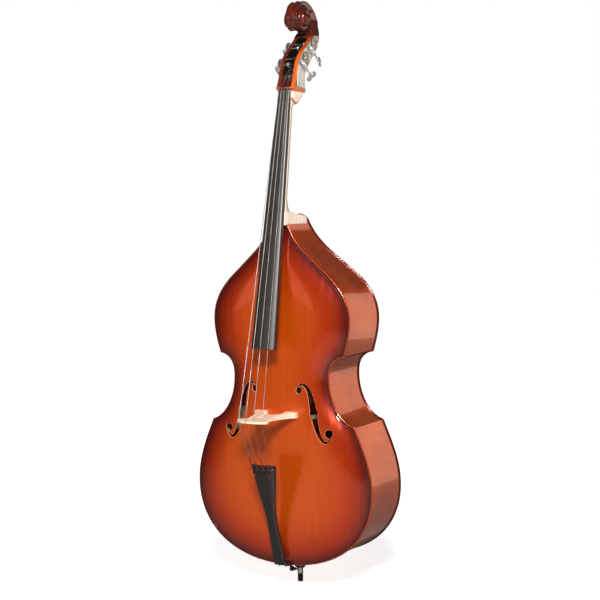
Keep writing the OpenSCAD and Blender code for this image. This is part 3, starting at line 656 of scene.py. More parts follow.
def wound(name, colour, rough, turns):
    """A wire with a fine winding; the attribute "along" is its length in millimetres."""
    m = Nodes(name, rough, metal=1.0)
    wave = m.math("SINE", m.math("MULTIPLY", m.attribute("along"), 2 * math.pi * turns))
    m.set("Base Color", m.ramp(m.math("ADD", m.math("MULTIPLY", wave, 0.5), 0.5),
                               [(0.1, tuple(0.45 * c for c in colour)), (0.7, colour)]))
    m.bump(wave, 0.6, 0.0001)
    return m.mat


MAT = {
    "top": varnish("spruce_varnish", spruce_colour),
    "back": varnish("back_varnish", back_colour),
    "rib": varnish("rib_varnish", rib_colour),
    "head": varnish("head_varnish", head_colour, coat_rough=0.06, sheen=0.1),
    "inlay": black("inlay_black", (0.012, 0.009, 0.008), 0.4, 0.8),
    "softwood": plain_wood("bare_spruce", (0.70, 0.48, 0.28), (0.52, 0.33, 0.17), 0.75),
    "bridge": plain_wood("bridge_maple", (0.72, 0.60, 0.49), (0.62, 0.48, 0.36), 0.5,
                         stretch=(0.05, 1, 1), scale=500),
    "board": black("board_black", (0.018, 0.017, 0.016), 0.38, 0.2, coat_rough=0.3),
    "nut": black("nut_black", (0.018, 0.016, 0.015), 0.3, 0.4),
    "tail": black("tailpiece_black", (0.012, 0.011, 0.011), 0.42, 0.3, coat_rough=0.12),
    "cable": metal("cable_steel", (0.35, 0.35, 0.36), 0.4),
    "silk": black("silk_red", (0.16, 0.012, 0.02), 0.8, stretch=(1, 1, 1), scale=1500, bump=0.6),
    "nickel": metal("tuner_nickel", (0.80, 0.80, 0.80), 0.24, (1, 1, 1), 90, 0.12, pure=0.8),
    "plate": metal("plate_nickel", (0.78, 0.78, 0.78), 0.36, (1, 0.06, 1), 700, 0.15, pure=0.55),
    "brass": metal("gear_brass", (0.58, 0.575, 0.55), 0.3),
    "roller": metal("roller_steel", (0.10, 0.10, 0.10), 0.4),
    "screw": metal("screw_steel", (0.62, 0.62, 0.62), 0.35),
    "string": wound("string_steel", (0.66, 0.65, 0.64), 0.3, 1.1),
    "collar": black("collar_black", (0.016, 0.015, 0.015), 0.25, 0.6),
    "chrome": metal("endpin_chrome", (0.84, 0.84, 0.86), 0.08, (1, 1, 1), 120, 0.03, 0.05),
    "rubber": black("tip_rubber", (0.022, 0.022, 0.022), 0.75, stretch=(1, 1, 1), scale=900, bump=0.5),
}


# ---------------------------------------------------------------- body
def f_hole():
    """Outline of the right-hand sound hole, as one closed loop."""
    line = np.vstack([bezier((76, 588), (84, 606), (106, 606), (118, 575), 12),
                      bezier((118, 575), (128, 548), (127, 538), (133, 512), 12),
                      bezier((133, 512), (139, 488), (138, 474), (150, 446), 12),
                      bezier((150, 446), (163, 412), (184, 406), (194, 438), 12), [(194, 438)]])
    n = len(line)
    t = np.gradient(line, axis=0)
    t /= np.linalg.norm(t, axis=1)[:, None]
    side = np.stack([-t[:, 1], t[:, 0]], 1)
    half = 2 + 10 * np.sin(np.linspace(0, math.pi, n)) ** 1.5
    nick = np.exp(-((np.arange(n) - n * 0.5) / 0.8) ** 2) * 5
    left, right = line + side * (half + nick)[:, None], line - side * (half + nick)[:, None]
    return union_outline([np.vstack([left, right[::-1]]), ring((82, 580), 11), ring((186, 445), 14)])


def ring(centre, r, n=36):
    a = np.arange(n) * 2 * math.pi / n
    return np.stack([centre[0] + r * np.cos(a), centre[1] + r * np.sin(a)], 1)


def union_outline(loops):
    """The outer border of several overlapping closed loops."""
    points = [Vector(p) for p in np.vstack(loops)]
    verts, _, faces, *_ = delaunay_2d_cdt(points, loop_edges(loops), [], 0, 1e-4)
    verts = np.array([tuple(v) for v in verts])
    faces = np.array(faces)
    centres = verts[faces].mean(1)
    keep = np.any([inside(centres, loop) for loop in loops], axis=0)
    follow = dict(border(faces[keep]))
    walks, seen = [], set()
    for a in follow:
        if a in seen:
            continue
        walk = [a]
        seen.add(a)
        while follow[walk[-1]] != a and follow[walk[-1]] not in seen:
            walk.append(follow[walk[-1]])
            seen.add(walk[-1])
        walks.append(walk)
    return even(verts[max(walks, key=len)], 2.2, closed=True)


def top_plate():
    hole = f_hole()
    holes = [hole, hole[::-1] * (-1, 1)]
    ob = plate("top_plate", OUTLINE, holes, lambda x, z: -arch(x, z), lambda x, z: TOP_T - arch(x, z),
               MAT["top"], ["top_plate"])
    for side, loop in (("right", holes[0]), ("left", holes[1])):
        f_rim(side, loop)


def f_rim(side, loop):
    """The pale bare wood of a sound hole's cut edge."""
    step = np.roll(loop, -1, 0) - np.roll(loop, 1, 0)
    step /= np.linalg.norm(step, axis=1)[:, None]
    turn = np.sign((loop[:, 0] * np.roll(loop[:, 1], -1) - np.roll(loop[:, 0], -1) * loop[:, 1]).sum())
    inward = np.stack([-step[:, 1], step[:, 0]], 1) * turn
    rows = []
    for d, y in ((-0.1, 0.25), (0.4, 0.25), (0.4, 1.7), (-0.1, 1.7)):
        rows.append(on_arch(loop + inward * d, y))
    verts, faces = loft(rows + [rows[0]], caps=False)
    n = len(loop)
    verts = verts[:4 * n]
    faces = [tuple(i % (4 * n) for i in f) for f in faces]
    ob = piece("f_hole_rim_" + side, verts, faces, MAT["softwood"])


def purfling():
    """The dark inlaid line just inside the edge of the top."""
    loops = [inset(OUTLINE, d) for d in (7.6, 8.0, 10.0, 10.4)]
    keep = ~((np.abs(loops[0][:, 0]) < 30.5) & (loops[0][:, 1] < 12))
    lifts = [-0.6, 0.4, 0.4, -0.6]
    rows = [on_arch(loop, -up) for loop, up in zip(loops, lifts)]
    n = len(OUTLINE)
    verts = np.vstack(rows)
    faces = []
    first = int(np.argmax(keep & ~np.roll(keep, 1)))
    run = [k % n for k in range(first, first + n) if keep[k % n]]
    for a, b in zip(run[:-1], run[1:]):
        if (b - a) % n != 1:
            continue
        for j in range(4):
            i, k = j * n, ((j + 1) % 4) * n
            faces.append((i + a, i + b, k + b, k + a))
    for end in (run[0], run[-1]):
        faces.append(tuple(j * n + end for j in range(4)))
    used = sorted({i for f in faces for i in f})
    renum = {i: k for k, i in enumerate(used)}
    ob = piece("purfling_line", verts[used], [tuple(renum[i] for i in f) for f in faces], MAT["inlay"],
               stands_for=["purfling"])


def back_plate():
    ob = plate("back_plate", BACK_OUTLINE, [], lambda x, z: back_y(z), lambda x, z: back_y(z) - BACK_T,
               MAT["back"], ["back_plate"], grid=16)


def ribs():
    outside = inset(OUTLINE, OVERHANG)
    within = inset(OUTLINE, OVERHANG + RIB_T)
    starts = (0, len(BOUTS[0]) - 1, len(BOUTS[0]) + len(BOUTS[1]) - 2)
    for bout, line, a in zip(("lower", "waist", "upper"), BOUTS, starts):
        outer = outside[a:a + len(line)]
        inner = within[a:a + len(line)]
        if bout == "upper":
            near = outer[:, 0] > 30.6
            outer, inner = outer[near], inner[near]
        for side, s in (("right", 1), ("left", -1)):
            rib(f"rib_{bout}_{side}", outer * (s, 1), inner * (s, 1))


def rib(name, outer, inner):
    """A bent strip between the plates, with painted shade darkening it along its seams against the plates.
    """
    depth = 26
    verts = []
    seam_shade = []
    for loop in (outer, inner):
        y1 = back_y(loop[:, 1]) - BACK_T
        for k in range(depth + 1):
            t = k / depth
            share = t * t * (3 - 2 * t) if 0 < k < depth else t
            y = TOP_T + (y1 - TOP_T) * share
            verts.append(np.stack([loop[:, 0], y, loop[:, 1]], 1))
            # painted shade, strongest against the plates
            gap = np.minimum(y - TOP_T, y1 - y)
            seam_shade.append(np.exp(-gap / 3.0))
    n = len(outer)
    rows = 2 * (depth + 1)
    faces = []
    for j in range(rows):
        if j == depth or j == rows - 1:
            continue
        for k in range(n - 1):
            a = j * n + k
            faces.append((a, a + 1, a + n + 1, a + n))
    for j in (0, depth):
        for k in range(n - 1):
            a, b = j * n + k, (j + depth + 1) * n + k
            faces.append((a, a + 1, b + 1, b))
    for k in (0, n - 1):
        for j in range(depth):
            a, b = j * n + k, (j + depth + 1) * n + k
            faces.append((a, a + n, b + n, b))
    ob = piece(name, np.vstack(verts), faces, MAT["rib"], stands_for=[name], smooth=50)
    store(ob, "seam_shade", np.concatenate(seam_shade))


# ---------------------------------------------------------------- neck, heel, pegbox and scroll
def head_at(y, z):
    return np.array([NUT_Y + y, NUT_Z + z], float)


def under_board(z):
    """Y of the underside of the fingerboard at a height."""
    z = np.asarray(z, float)
    t = 18 + 10 * (NUT_Z - z) / BOARD_L
    return NUT_Y - (NUT_Z - z) * math.tan(BOARD_LEAN) + t / math.cos(BOARD_LEAN)


SCROLL = head_at(103, 239)
THROAT = head_at(151, 201)


def volute_r(turn):
    """Radius of the scroll's spiral for an angle in degrees, from the back over the top."""
    return 60 * np.exp(-turn / 70) + 48 - 0.042 * turn


def volute_w(turn):
    """Half width of the scroll at the same angle."""
    return np.minimum(17 + 4.6 * turn / 120, 40)


def half_scroll(y, z):
    """Half width of the scroll over the Y-Z plane: terraces that climb towards the eye."""
    dy, dz = y - SCROLL[0], z - SCROLL[1]
    rho = np.hypot(dy, dz)
    a = np.degrees(np.arctan2(dz, dy)) % 360
    high = np.zeros_like(rho)
    for k in range(3):
        turn = a + 360 * k
        r0, r1 = volute_r(turn), volute_r(turn + 360)
        u = (r0 - rho) / np.maximum(r0 - r1, 1e-6)
        here = (u >= 0) & (u < 1) if k < 2 else u >= 0
        climb = volute_w(turn + 360) - volute_w(turn)
        wall = np.clip((u - 0.76) / 0.24, 0, 1)
        groove = 3.4 * np.sin(math.pi * np.clip(u / 0.86, 0, 1)) ** 0.8
        level = volute_w(turn) + climb * wall * wall * (3 - 2 * wall) - groove * (k < 2)
        high = np.where(here, level, high)
    eye = rho < 11
    return np.where(eye, 40 + 2.5 * np.sqrt(np.clip(1 - (rho / 11) ** 2, 0, 1)), high)


def flat_distance(y, z, loop):
    """Signed distance of Y-Z points to a closed loop, below 0 inside."""
    p = np.stack([y.ravel(), z.ravel()], 1)
    low, high = np.min(loop, 0) - 30, np.max(loop, 0) + 30
    near = np.all((p > low) & (p < high), axis=1)
    d = np.full(len(p), 30.0)
    d[near] = distance(p[near], loop)
    d[near] = np.where(inside(p[near], loop), -d[near], d[near])
    return d.reshape(y.shape)


def slab_distance(d, across, half, r):
    """A flat shape's distance carried across to +-half, with its corners rounded by r."""
    a, b = d + r, across - half + r
    return np.sqrt(np.maximum(a, 0) ** 2 + np.maximum(b, 0) ** 2) + np.minimum(np.maximum(a, b), 0) - r


def join(a, b, k):
    """Smooth union of two distances."""
    h = np.clip(0.5 + 0.5 * (b - a) / k, 0, 1)
    return b * (1 - h) + a * h - k * h * (1 - h)


def skin(field, origin, step):
    """A closed quad mesh of the surface where a sampled field crosses 0."""
    corners = [(i, j, k) for i in (0, 1) for j in (0, 1) for k in (0, 1)]
    shape = tuple(n - 1 for n in field.shape)

    def part(o):
        return field[o[0]:o[0] + shape[0], o[1]:o[1] + shape[1], o[2]:o[2] + shape[2]]

    count = sum((part(o) < 0).astype(np.int8) for o in corners)
    cells = np.argwhere((count > 0) & (count < 8))
    ids = np.full(shape, -1)
    ids[tuple(cells.T)] = np.arange(len(cells))
    total = np.zeros((len(cells), 3))
    hits = np.zeros(len(cells))
    for axis in range(3):
        unit = np.eye(3, dtype=int)[axis]
        for o in corners:
            if o[axis]:
                continue
            a = field[tuple((cells + o).T)]
            b = field[tuple((cells + o + unit).T)]
            cross = (a < 0) != (b < 0)
            t = np.where(cross, a / np.where(cross, a - b, 1), 0)
            total += np.where(cross[:, None], np.array(o) + t[:, None] * unit, 0)
            hits += cross
    verts = origin + (cells + total / hits[:, None]) * step
    faces = []
    for axis in range(3):
        unit = np.eye(3, dtype=int)[axis]
        lo = field[tuple(slice(0, n - u) for n, u in zip(field.shape, unit))] < 0
        hi = field[tuple(slice(u, n) for n, u in zip(field.shape, unit))] < 0
        b, c = [k for k in range(3) if k != axis]
        at = np.argwhere(lo != hi)
        at = at[(at[:, b] > 0) & (at[:, c] > 0) & (at[:, b] < shape[b]) & (at[:, c] < shape[c])]
        quad = []
        for db, dc in ((0, 0), (1, 0), (1, 1), (0, 1)):
            q = at.copy()
            q[:, b] -= db
            q[:, c] -= dc
            quad.append(ids[tuple(q.T)])
        faces.append(np.stack(quad, 1))
    return verts, np.vstack(faces)


NECK_ROWS = [(1100, 32, 62), (1143, 31.5, 60), (1150, 31, 51), (1163, 30.5, 39), (1181, 30, 32),
             (1200, 29.5, 28.5), (1240, 28.6, 36.5), (1350, 25.5, 57), (1500, 21.5, 85), (1560, 21, 97)]
FRONT_EDGE = np.vstack([bezier(head_at(10, 11), head_at(39, 59), head_at(31, 99), head_at(75, 133), 36),
                        bezier(head_at(75, 133), head_at(97, 152), head_at(120, 167), THROAT, 28), [THROAT]])
BACK_EDGE = np.vstack([
    bezier(head_at(208, 222), head_at(208, 206), head_at(196, 196), head_at(187, 184), 16),
    bezier(head_at(187, 184), head_at(170, 139), head_at(140, 114), head_at(110, 85), 40),
    bezier(head_at(110, 85), head_at(85, 59), head_at(83, 39), head_at(93, -1), 30)])
CHIN = np.vstack([smooth_line([head_at(93, -1), head_at(84, -1), head_at(74, -7), head_at(66, -22),
                               head_at(52, -38), head_at(30, -43), head_at(8, -38)], 24)])
HEAD_LOOP = np.vstack([FRONT_EDGE, BACK_EDGE[16:], CHIN])


def neck_field(x, y, z):
    """Distance-like field of the whole neck, below 0 inside. x is the half width axis, at or above 0."""
    Y, Z = np.meshgrid(y, z, indexing="ij")
    X = x[:, None, None]
    rows = np.array(NECK_ROWS)
    w = np.interp(z, rows[:, 0], rows[:, 1])
    back = np.interp(z, rows[:, 0], rows[:, 2])
    front = under_board(z) - 1
    depth = back - front
    t = np.maximum((Y - front) / depth, 0)
    shape = ((X / w) ** 2.4 + t[None] ** 2.4) ** (1 / 2.4) - 1
    shaft = np.maximum(shape * np.minimum(w, depth) * 0.8, (front - Y)[None])
    shaft = np.maximum(shaft, np.maximum(1109.5 - Z, Z - 1552)[None])

    heel_loop = np.vstack([[(under_board(1141) - 2, 1145), (under_board(1110) - 2, 1109.5), (TOP_T, 1109.5),
                            (150, 1109.5), (back_y(1126) - BACK_T, 1130)],
                           smooth_line([(back_y(1133) - 8, 1134), (130, 1139.5), (95, 1143), (66, 1145.5),
                                        (58, 1150)], 12)])
    heel_w = np.interp(y, [0, 60, 100, 155], [30, 30, 29.5, 27])[:, None]
    heel = slab_distance(flat_distance(Y, Z, heel_loop)[None], X, heel_w[None], 4)
    body = join(shaft, heel, 7)

    loop = flat_distance(Y, Z, HEAD_LOOP)
    side = np.interp(z, [1498, 1512, 1530, 1552], [23, 26, 31, 33])
    channel_loop = np.vstack([[head_at(-30, 10), head_at(-12, 13), head_at(24, 13), head_at(50, 14)],
                              smooth_line([head_at(60, 26), head_at(66, 40), head_at(76, 70),
                                           head_at(100, 96), head_at(140, 136), head_at(160, 172),
                                           head_at(155, 196)], 30),
                              [head_at(140, 215), head_at(60, 190), head_at(-30, 90)]])
    channel = flat_distance(Y, Z, channel_loop)
    spine_w = np.interp(z, [1722, 1730, 1745, 1762, 1785], [33, 32, 26.5, 20, 17])
    share = np.clip(X / np.minimum(side, spine_w), 0, 1)
    flute = 2.4 * np.sin(math.pi * share) ** 2 * np.clip((z - NUT_Z - 20) / 60, 0, 1)
    rear = np.clip((Y - np.interp(Z, FRONT_EDGE[:, 1], FRONT_EDGE[:, 0]) - 22) / 8, 0, 1)
    box = slab_distance(loop[None] + flute * rear[None], X, np.minimum(side, spine_w + 6), 2.2)
    hollow = slab_distance(channel[None], X, 20, 3)

    turns = [math.radians(a) for a in range(24, -1, -3)]
    crest = [SCROLL + volute_r(math.degrees(t)) * np.array([math.cos(t), math.sin(t)]) for t in turns]
    spine_loop = np.vstack([[THROAT + (-14, -16), THROAT, SCROLL + (30, -26), SCROLL + (30, 30)],
                            crest, BACK_EDGE[:28]])
    spine = slab_distance(flat_distance(Y, Z, spine_loop)[None] + flute * rear[None], X, spine_w, 2.2)

    rho = np.hypot(Y - SCROLL[0], Z - SCROLL[1])
    a = np.degrees(np.arctan2(Z - SCROLL[1], Y - SCROLL[0])) % 360
    edge = volute_r(a)
    wide = volute_w(a)
    band = 1.9 * np.minimum(1.7 * np.sin(math.pi * np.clip(X / wide, 0, 1)) ** 2, 1)
    band = band * np.clip((330 - a) / 40, 0, 1)
    high = half_scroll(Y, Z)
    gy, gz = np.gradient(high, y, z)
    steep = np.sqrt(1 + np.minimum(gy ** 2 + gz ** 2, 25))
    across = np.where(rho < edge, (X - high) / steep, X - wide)
    ball = -join(-(rho - edge + band), -across, 2.5)
    head = join(np.maximum(box, -hollow), spine, 5)
    head = join(head, np.where(rho[None] < edge + 30, ball, 30), 2)

    bed = (under_board(z) - Y)[None] + 0 * X
    along = (Y - NUT_Y) * math.sin(BOARD_LEAN) + (Z - NUT_Z) * math.cos(BOARD_LEAN)
    seat = np.minimum(bed, (9.3 - along)[None])
    return np.maximum(join(body, head, 4), seat)


def neck():
    step = 1.7
    x = np.arange(0, 48, step)
    y = np.arange(-52, 264, step)
    z = np.arange(1104, 1850, step)
    half = neck_field(x, y, z).astype(np.float32)
    field = np.concatenate([half[:0:-1], half])
    verts, faces = skin(field, np.array([-x[-1], y[0], z[0]]), step)
    ob = piece("neck_and_scroll", verts, faces, MAT["head"], stands_for=["neck"], smooth=42)
    yz = verts[:, 1:]
    shell = flat_distance(yz[:, 0], yz[:, 1], HEAD_LOOP)
    curl = smooth_line([head_at(93, -1), head_at(79, -3), head_at(72, -12), head_at(66, -24),
                        head_at(52, -38), head_at(32, -37), head_at(15, -28), head_at(-2, -10)], 40)
    curl = distance(yz, np.vstack([curl, curl[::-1]]))
    bare = np.clip((NUT_Z - 1.5 - verts[:, 2]) / 1.5, 0, 1) * np.clip((curl - 4) / 1.5, 0, 1)
    front = distance(yz, np.vstack([FRONT_EDGE, FRONT_EDGE[::-1]]))
    # Painted highlight: orange along the front edges, full on the right (+X) cheek that faces the key light
    # and a tenth on the left, fading towards the throat; below it an orange band by the nut.
    lit_edge_and_nut_band = np.clip((6 - front) / 3, 0, 1) * np.clip((THROAT[1] - 12 - verts[:, 2]) / 10, 0, 1)
    lit_edge_and_nut_band *= np.where(verts[:, 0] > 0, 1, 0.1) * np.interp(verts[:, 2], [NUT_Z + 100, THROAT[1]], [1, 0.25])
    low = np.clip((NUT_Z + 17 - verts[:, 2]) / 4, 0, 1)
    store(ob, "bare", bare)
    store(ob, "lit_edge_and_nut_band", np.maximum(lit_edge_and_nut_band, low * 0.7))
    # Painted shade: faces deep inside the pegbox are marked to be turned near black.
    deep = (np.abs(verts[:, 0]) < 20.4) & (front > 3) & (shell < -3) & (verts[:, 2] > NUT_Z + 8)
    store(ob, "hollow", deep * 1.0)


# ---------------------------------------------------------------- helpers for the fittings
def tilt(points, at, lean):
    """Points in a frame that leans forward by lean (radians), set at (Y, Z), to the body frame."""
    p = np.asarray(points, float)
    y, z = p[:, 1], p[:, 2]
    return np.stack([p[:, 0], at[0] + y * math.cos(lean) + z * math.sin(lean),
                     at[1] - y * math.sin(lean) + z * math.cos(lean)], 1)


def sandwich(near, far, tris):
    """Two copies of a triangle mesh, joined by walls along its borders."""
    n = len(near)
    faces = [tuple(t) for t in tris] + [tuple(t[::-1] + n) for t in tris]
    faces += [(q, p, p + n, q + n) for p, q in border(tris)]
    return np.vstack([near, far]), faces


def relief(outline, holes, front, back, grid=0):
    """A closed shape over a flat outline, between two heights given for its flat coordinates."""
    outline = np.asarray(outline, float)
    extra = np.zeros((0, 2))
    if grid:
        extra = hex_grid(outline, grid)
        ok = inside(extra, outline) & (distance(extra, outline) > grid * 0.4)
        for h in holes:
            ok &= (distance(extra, h) > grid * 0.4) & ~inside(extra, h)
        extra = extra[ok]

    def keep(c):
        ok = inside(c, outline)
        for h in holes:
            ok &= ~inside(c, h)
        return ok

    flat, tris, _ = triangulate([outline] + list(holes), extra, keep)
    return sandwich(np.column_stack([flat, front(flat[:, 0], flat[:, 1])]),
                    np.column_stack([flat, back(flat[:, 0], flat[:, 1])]), tris)


def level(value):
    return lambda u, v: np.full(len(u), float(value))


def cut(ob, verts, faces):
    """Takes a closed shape, in body-frame millimetres, out of a piece."""
    mesh = closed_mesh("cutter", world(verts), faces)
    tool = bpy.data.objects.new("cutter", mesh)
    scene.collection.objects.link(tool)
    m = ob.modifiers.new("cut", "BOOLEAN")
    m.operation = "DIFFERENCE"
    m.solver = "EXACT"
    m.object = tool
    bpy.context.view_layer.update()
    done = bpy.data.meshes.new_from_object(ob.evaluated_get(bpy.context.evaluated_depsgraph_get()))
    ob.modifiers.remove(m)
    ob.data = done
    bpy.data.objects.remove(tool)
    bpy.data.meshes.remove(mesh)
    return ob


def brick(low, high):
    """The corners and faces of a box, for cutting."""
    v = [(x, y, z) for x in (low[0], high[0]) for y in (low[1], high[1]) for z in (low[2], high[2])]
    f = [(0, 1, 3, 2), (4, 6, 7, 5), (0, 4, 5, 1), (2, 3, 7, 6), (0, 2, 6, 4), (1, 5, 7, 3)]
    return np.array(v, float), f


def sag(x, r):
    return r - np.sqrt(np.maximum(r * r - np.asarray(x, float) ** 2, 0))


def lane(i, gap):
    return (i - 1.5) * gap


# ---------------------------------------------------------------- fingerboard, nut, saddle
def section(half, depth, radius, hollow=0.0):
    """Across the fingerboard: arched playing face, sides with soft corners, a flat or hollow back."""
    x = np.linspace(-half + 0.8, half - 0.8, 19)
    top = np.stack([x, sag(x, radius)], 1)
    side_y = sag(half, radius) + 0.8
    side = np.stack([np.full(5, half), np.linspace(side_y, depth - 1.2, 5)], 1)
    under_x = np.linspace(half - 1.2, -half + 1.2, 15)
    bow = hollow * np.clip(1 - (under_x / (half - 5)) ** 2, 0, 1)
    under = np.stack([under_x, depth - bow], 1)
    return np.vstack([top, side, under, side[::-1] * (-1, 1)])


def fingerboard():
    rings = []
    stations = [0.15, 0.6, 2]
    stations += list(np.linspace(12, BOARD_L - 12, 44))
    stations += [BOARD_L - 2, BOARD_L - 0.6, BOARD_L - 0.1]
    for s in stations:
        t = s / BOARD_L
        end = min(s, BOARD_L - s)
        trim = 1.2 * (1 - math.sqrt(max(0, 1 - (1 - min(end, 1.2) / 1.2) ** 2)))
        half = 21 + 22.5 * t - trim
        free = np.clip((s - 415) / 40, 0, 1)
        scoop = 0.8 * math.sin(math.pi * t)
        ring_2d = section(half, 18 + 10 * t - trim - 0.3 * (free > 0), BOARD_R, 9 * free)
        ring_2d[:, 1] = np.maximum(ring_2d[:, 1], trim + scoop * (ring_2d[:, 1] < 10))
        rings.append(np.column_stack([ring_2d, np.full(len(ring_2d), -s)]))
    verts, faces = loft(rings)
    ob = piece("fingerboard", tilt(verts, (NUT_Y, NUT_Z), BOARD_LEAN), faces, MAT["board"],
               stands_for=["fingerboard"], smooth=40)


def nut():
    rings = []
    for z, grow, up in ((0.1, -0.5, 0.5), (0.5, 0, 0), (3, 0, -0.2), (6, 0, 0.6), (8, -0.3, 1.8),
                        (8.8, -1.0, 3.2)):
        ring_2d = section(21 + grow, 18, BOARD_R)
        ring_2d[:, 1] = np.where(ring_2d[:, 1] < 12, ring_2d[:, 1] - 3 + up, ring_2d[:, 1])
        rings.append(np.column_stack([ring_2d, np.full(len(ring_2d), z)]))
    verts, faces = loft(rings)
    verts = tilt(verts, (NUT_Y, NUT_Z), BOARD_LEAN)
    ob = piece("nut", verts, faces, MAT["nut"], stands_for=["nut"], smooth=45)
    for i in range(4):
        path = [string_bridge(i) * 0.02 + string_nut(i) * 0.98, string_nut(i), string_roller(i)]
        cut(ob, *tube([path[0], path[1], 0.8 * path[1] + 0.2 * path[2]], STRING_R[i] + 0.15, 14))


def saddle():
    rings = []
    for x in (-30, -29.6, -29, *np.linspace(-27, 27, 13), 29, 29.6, 30):
        round_off = 1.0 - math.sqrt(max(0, 1 - (max(0, abs(x) - 29)) ** 2))
        a = np.linspace(0.02, math.pi / 2 * 0.72, 9)
        arc = np.stack([TOP_T - (19 - round_off) * np.cos(a), (19 - round_off) * np.sin(a)], 1)
        arc = arc[arc[:, 1] < 9.6]
        arc = np.vstack([[(arc[0, 0], 0.3)], arc, [(arc[-1, 0] + 3, 9.8 - round_off)]])
        back = [(TOP_T, 9.8 - round_off), (TOP_T, 0.3)]
        loop = np.vstack([arc, back])
        rings.append(np.column_stack([np.full(len(loop), x), loop]))
    n = min(len(r) for r in rings)
    verts, faces = loft([r[-n:] for r in rings])
    ob = bevel(piece("saddle", verts, faces, MAT["nut"], stands_for=["saddle"]), 0.5)


# ---------------------------------------------------------------- bridge
def bridge():
    foot = BRIDGE_Z - 4
    x = np.linspace(0, 50, 14)
    crown = np.stack([x, BRIDGE_REACH - sag(x, BRIDGE_R)], 1)
    side = smooth_line([(52, 186), (54.5, 177), (48, 166), (37.5, 157), (33.6, 146), (36.5, 134),
                        (38.5, 118), (43.5, 96), (54, 68), (66, 48), (75, 43)], 60)
    toe = np.linspace(76, 33, 12)
    sole = np.stack([toe, np.maximum(arch(toe, foot), arch(toe, foot + 19)) + 0.2], 1)
    leg = smooth_line([(33, 42), (39, 48), (39.5, 60), (33, 74), (20, 85), (6, 90)], 26)
    right = np.vstack([crown, side, sole, leg])
    loop = even(np.vstack([right, right[::-1] * (-1, 1)]), 2.0, closed=True)
    eye = ring((0, 132), 10, 30)
    eye[:, 0] *= 1 + 0.25 * np.clip((eye[:, 1] - 128) / 12, 0, 1)
    ears = [ring((s * 24, 150), 6.2, 24) * (1, 1) for s in (1, -1)]
    thick = lambda u, v: foot + np.interp(v, [40, 202], [18.6, 6.8])
    verts, faces = relief(loop, [eye, *ears], level(foot), thick, grid=6)
    verts = np.stack([verts[:, 0], -verts[:, 1], verts[:, 2]], 1)
    ob = piece("bridge", verts, faces, MAT["bridge"], stands_for=["bridge"], smooth=40)
    for i in range(4):
        a, b, c = string_fret(i), string_bridge(i), string_nut(i)
        cut(ob, *tube([0.93 * b + 0.07 * a, b, 0.97 * b + 0.03 * c], STRING_R[i] + 0.12, 12))
    bevel(ob, 0.9, 2, 40)


# ---------------------------------------------------------------- tailpiece, its fret and its wire
TAIL_TOP = (-139, 345)
TAIL_LEAN = math.radians(17.4)
TAIL_L = 353
TAIL_T = 16


def on_tail(points):
    return tilt(points, TAIL_TOP, -TAIL_LEAN)


def along_tail(x, s, out):
    """A point s mm down the tailpiece from its top edge and out mm in front of its face."""
    return on_tail([(x, -out, -s)])[0]


def tail_half(s):
    """Half width of the tailpiece s mm down from its top edge."""
    line = np.vstack([bezier((46, 0), (44, 60), (17, 110), (16, 205), 24),
                      bezier((16, 205), (15.5, 260), (20, 300), (20, 335), 24),
                      [(20, 335), (16, 349), (8, TAIL_L)]])
    return np.interp(s, line[:, 1], line[:, 0])


def tailpiece():
    s = np.concatenate([[0], np.linspace(2, 330, 84), [335, 342, 349, 351.5, TAIL_L]])
    half = tail_half(s)
    right = np.stack([half, -s], 1)
    right[0, 0] -= 2
    loop = even(np.vstack([right[::-1], right * (-1, 1)]), 3.0, closed=True)
    holes = []
    for i in range(4):
        x = lane(i, TAIL_GAP)
        slit = [(x - 1.6, -28.5), (x - 1.6, -19.5)]
        slit += [(x + 1.6 * math.cos(a), -19.5 + 1.6 * math.sin(a))
                 for a in np.linspace(math.pi, 0, 7)[1:-1]]
        slit += [(x + 1.6, -19.5), (x + 1.6, -28.5)]
        bulb = [(x + 4.5 * math.sin(a), -33 + 4.5 * math.cos(a))
                for a in np.linspace(0.37, 2 * math.pi - 0.37, 18)]
        holes.append(np.array(slit + bulb))

    def face(u, v):
        w = tail_half(-v)
        edge = np.clip((w - np.abs(u)) / 5.0, 0, 1)
        return 1.6 * (1 - edge) ** 2 + sag(u, 62) * 0.9 + 0.2

    def under(u, v):
        return face(u, v) + np.clip(TAIL_T - 3 - sag(u, 62) * 0.4, 5, TAIL_T)

    verts, faces = relief(loop, holes, face, lambda u, v: np.minimum(under(u, v), TAIL_T), grid=5)
    verts = verts[:, [0, 2, 1]]
    ob = piece("tailpiece", on_tail(verts), faces, MAT["tail"], stands_for=["tailpiece"], smooth=32)
    bevel(ob, 0.7, 2, 40)

    x = np.linspace(-41.5, 41.5, 31)
    path = on_tail(np.stack([x, sag(x, 110) - 2.4, np.full(31, -10.0)], 1))
    verts, faces = tube(path, 2.6 - 1.2 * np.abs(np.linspace(-1, 1, 31)) ** 12, 14)
    fret = piece("tailpiece_fret", verts, faces, MAT["nut"], stands_for=["tailpiece_fret"])


def tail_wire():
    def side(s):
        top = along_tail(s * 12, TAIL_L - 26, -TAIL_T - 4)
        return [top, (s * 12, -13.2, -1.75), (s * 13.6, 20, -2.6), (s * 16.7, PIN_Y, -4.5)]

    behind = [(16.7 * math.cos(a), PIN_Y + 16.7 * math.sin(a), -4.5)
              for a in np.linspace(0, math.pi, 21)[1:-1]]
    path = even(np.vstack([side(1), behind, side(-1)[::-1]]), 3)
    path[1:-1] = 0.25 * path[:-2] + 0.5 * path[1:-1] + 0.25 * path[2:]
    parts = [tube(path, 1.5, 12)]
    for s in (1, -1):
        end = np.array(side(s)[0])
        ball = [(3.0 * math.sin(a), -3.0 * math.cos(a)) for a in np.linspace(0.15, math.pi - 0.15, 9)]
        parts.append(lathe(ball, end, (0, 0.3, 1), 16))
    ob = piece("tail_wire", *merge(*parts), MAT["cable"], stands_for=["tail_wire"])


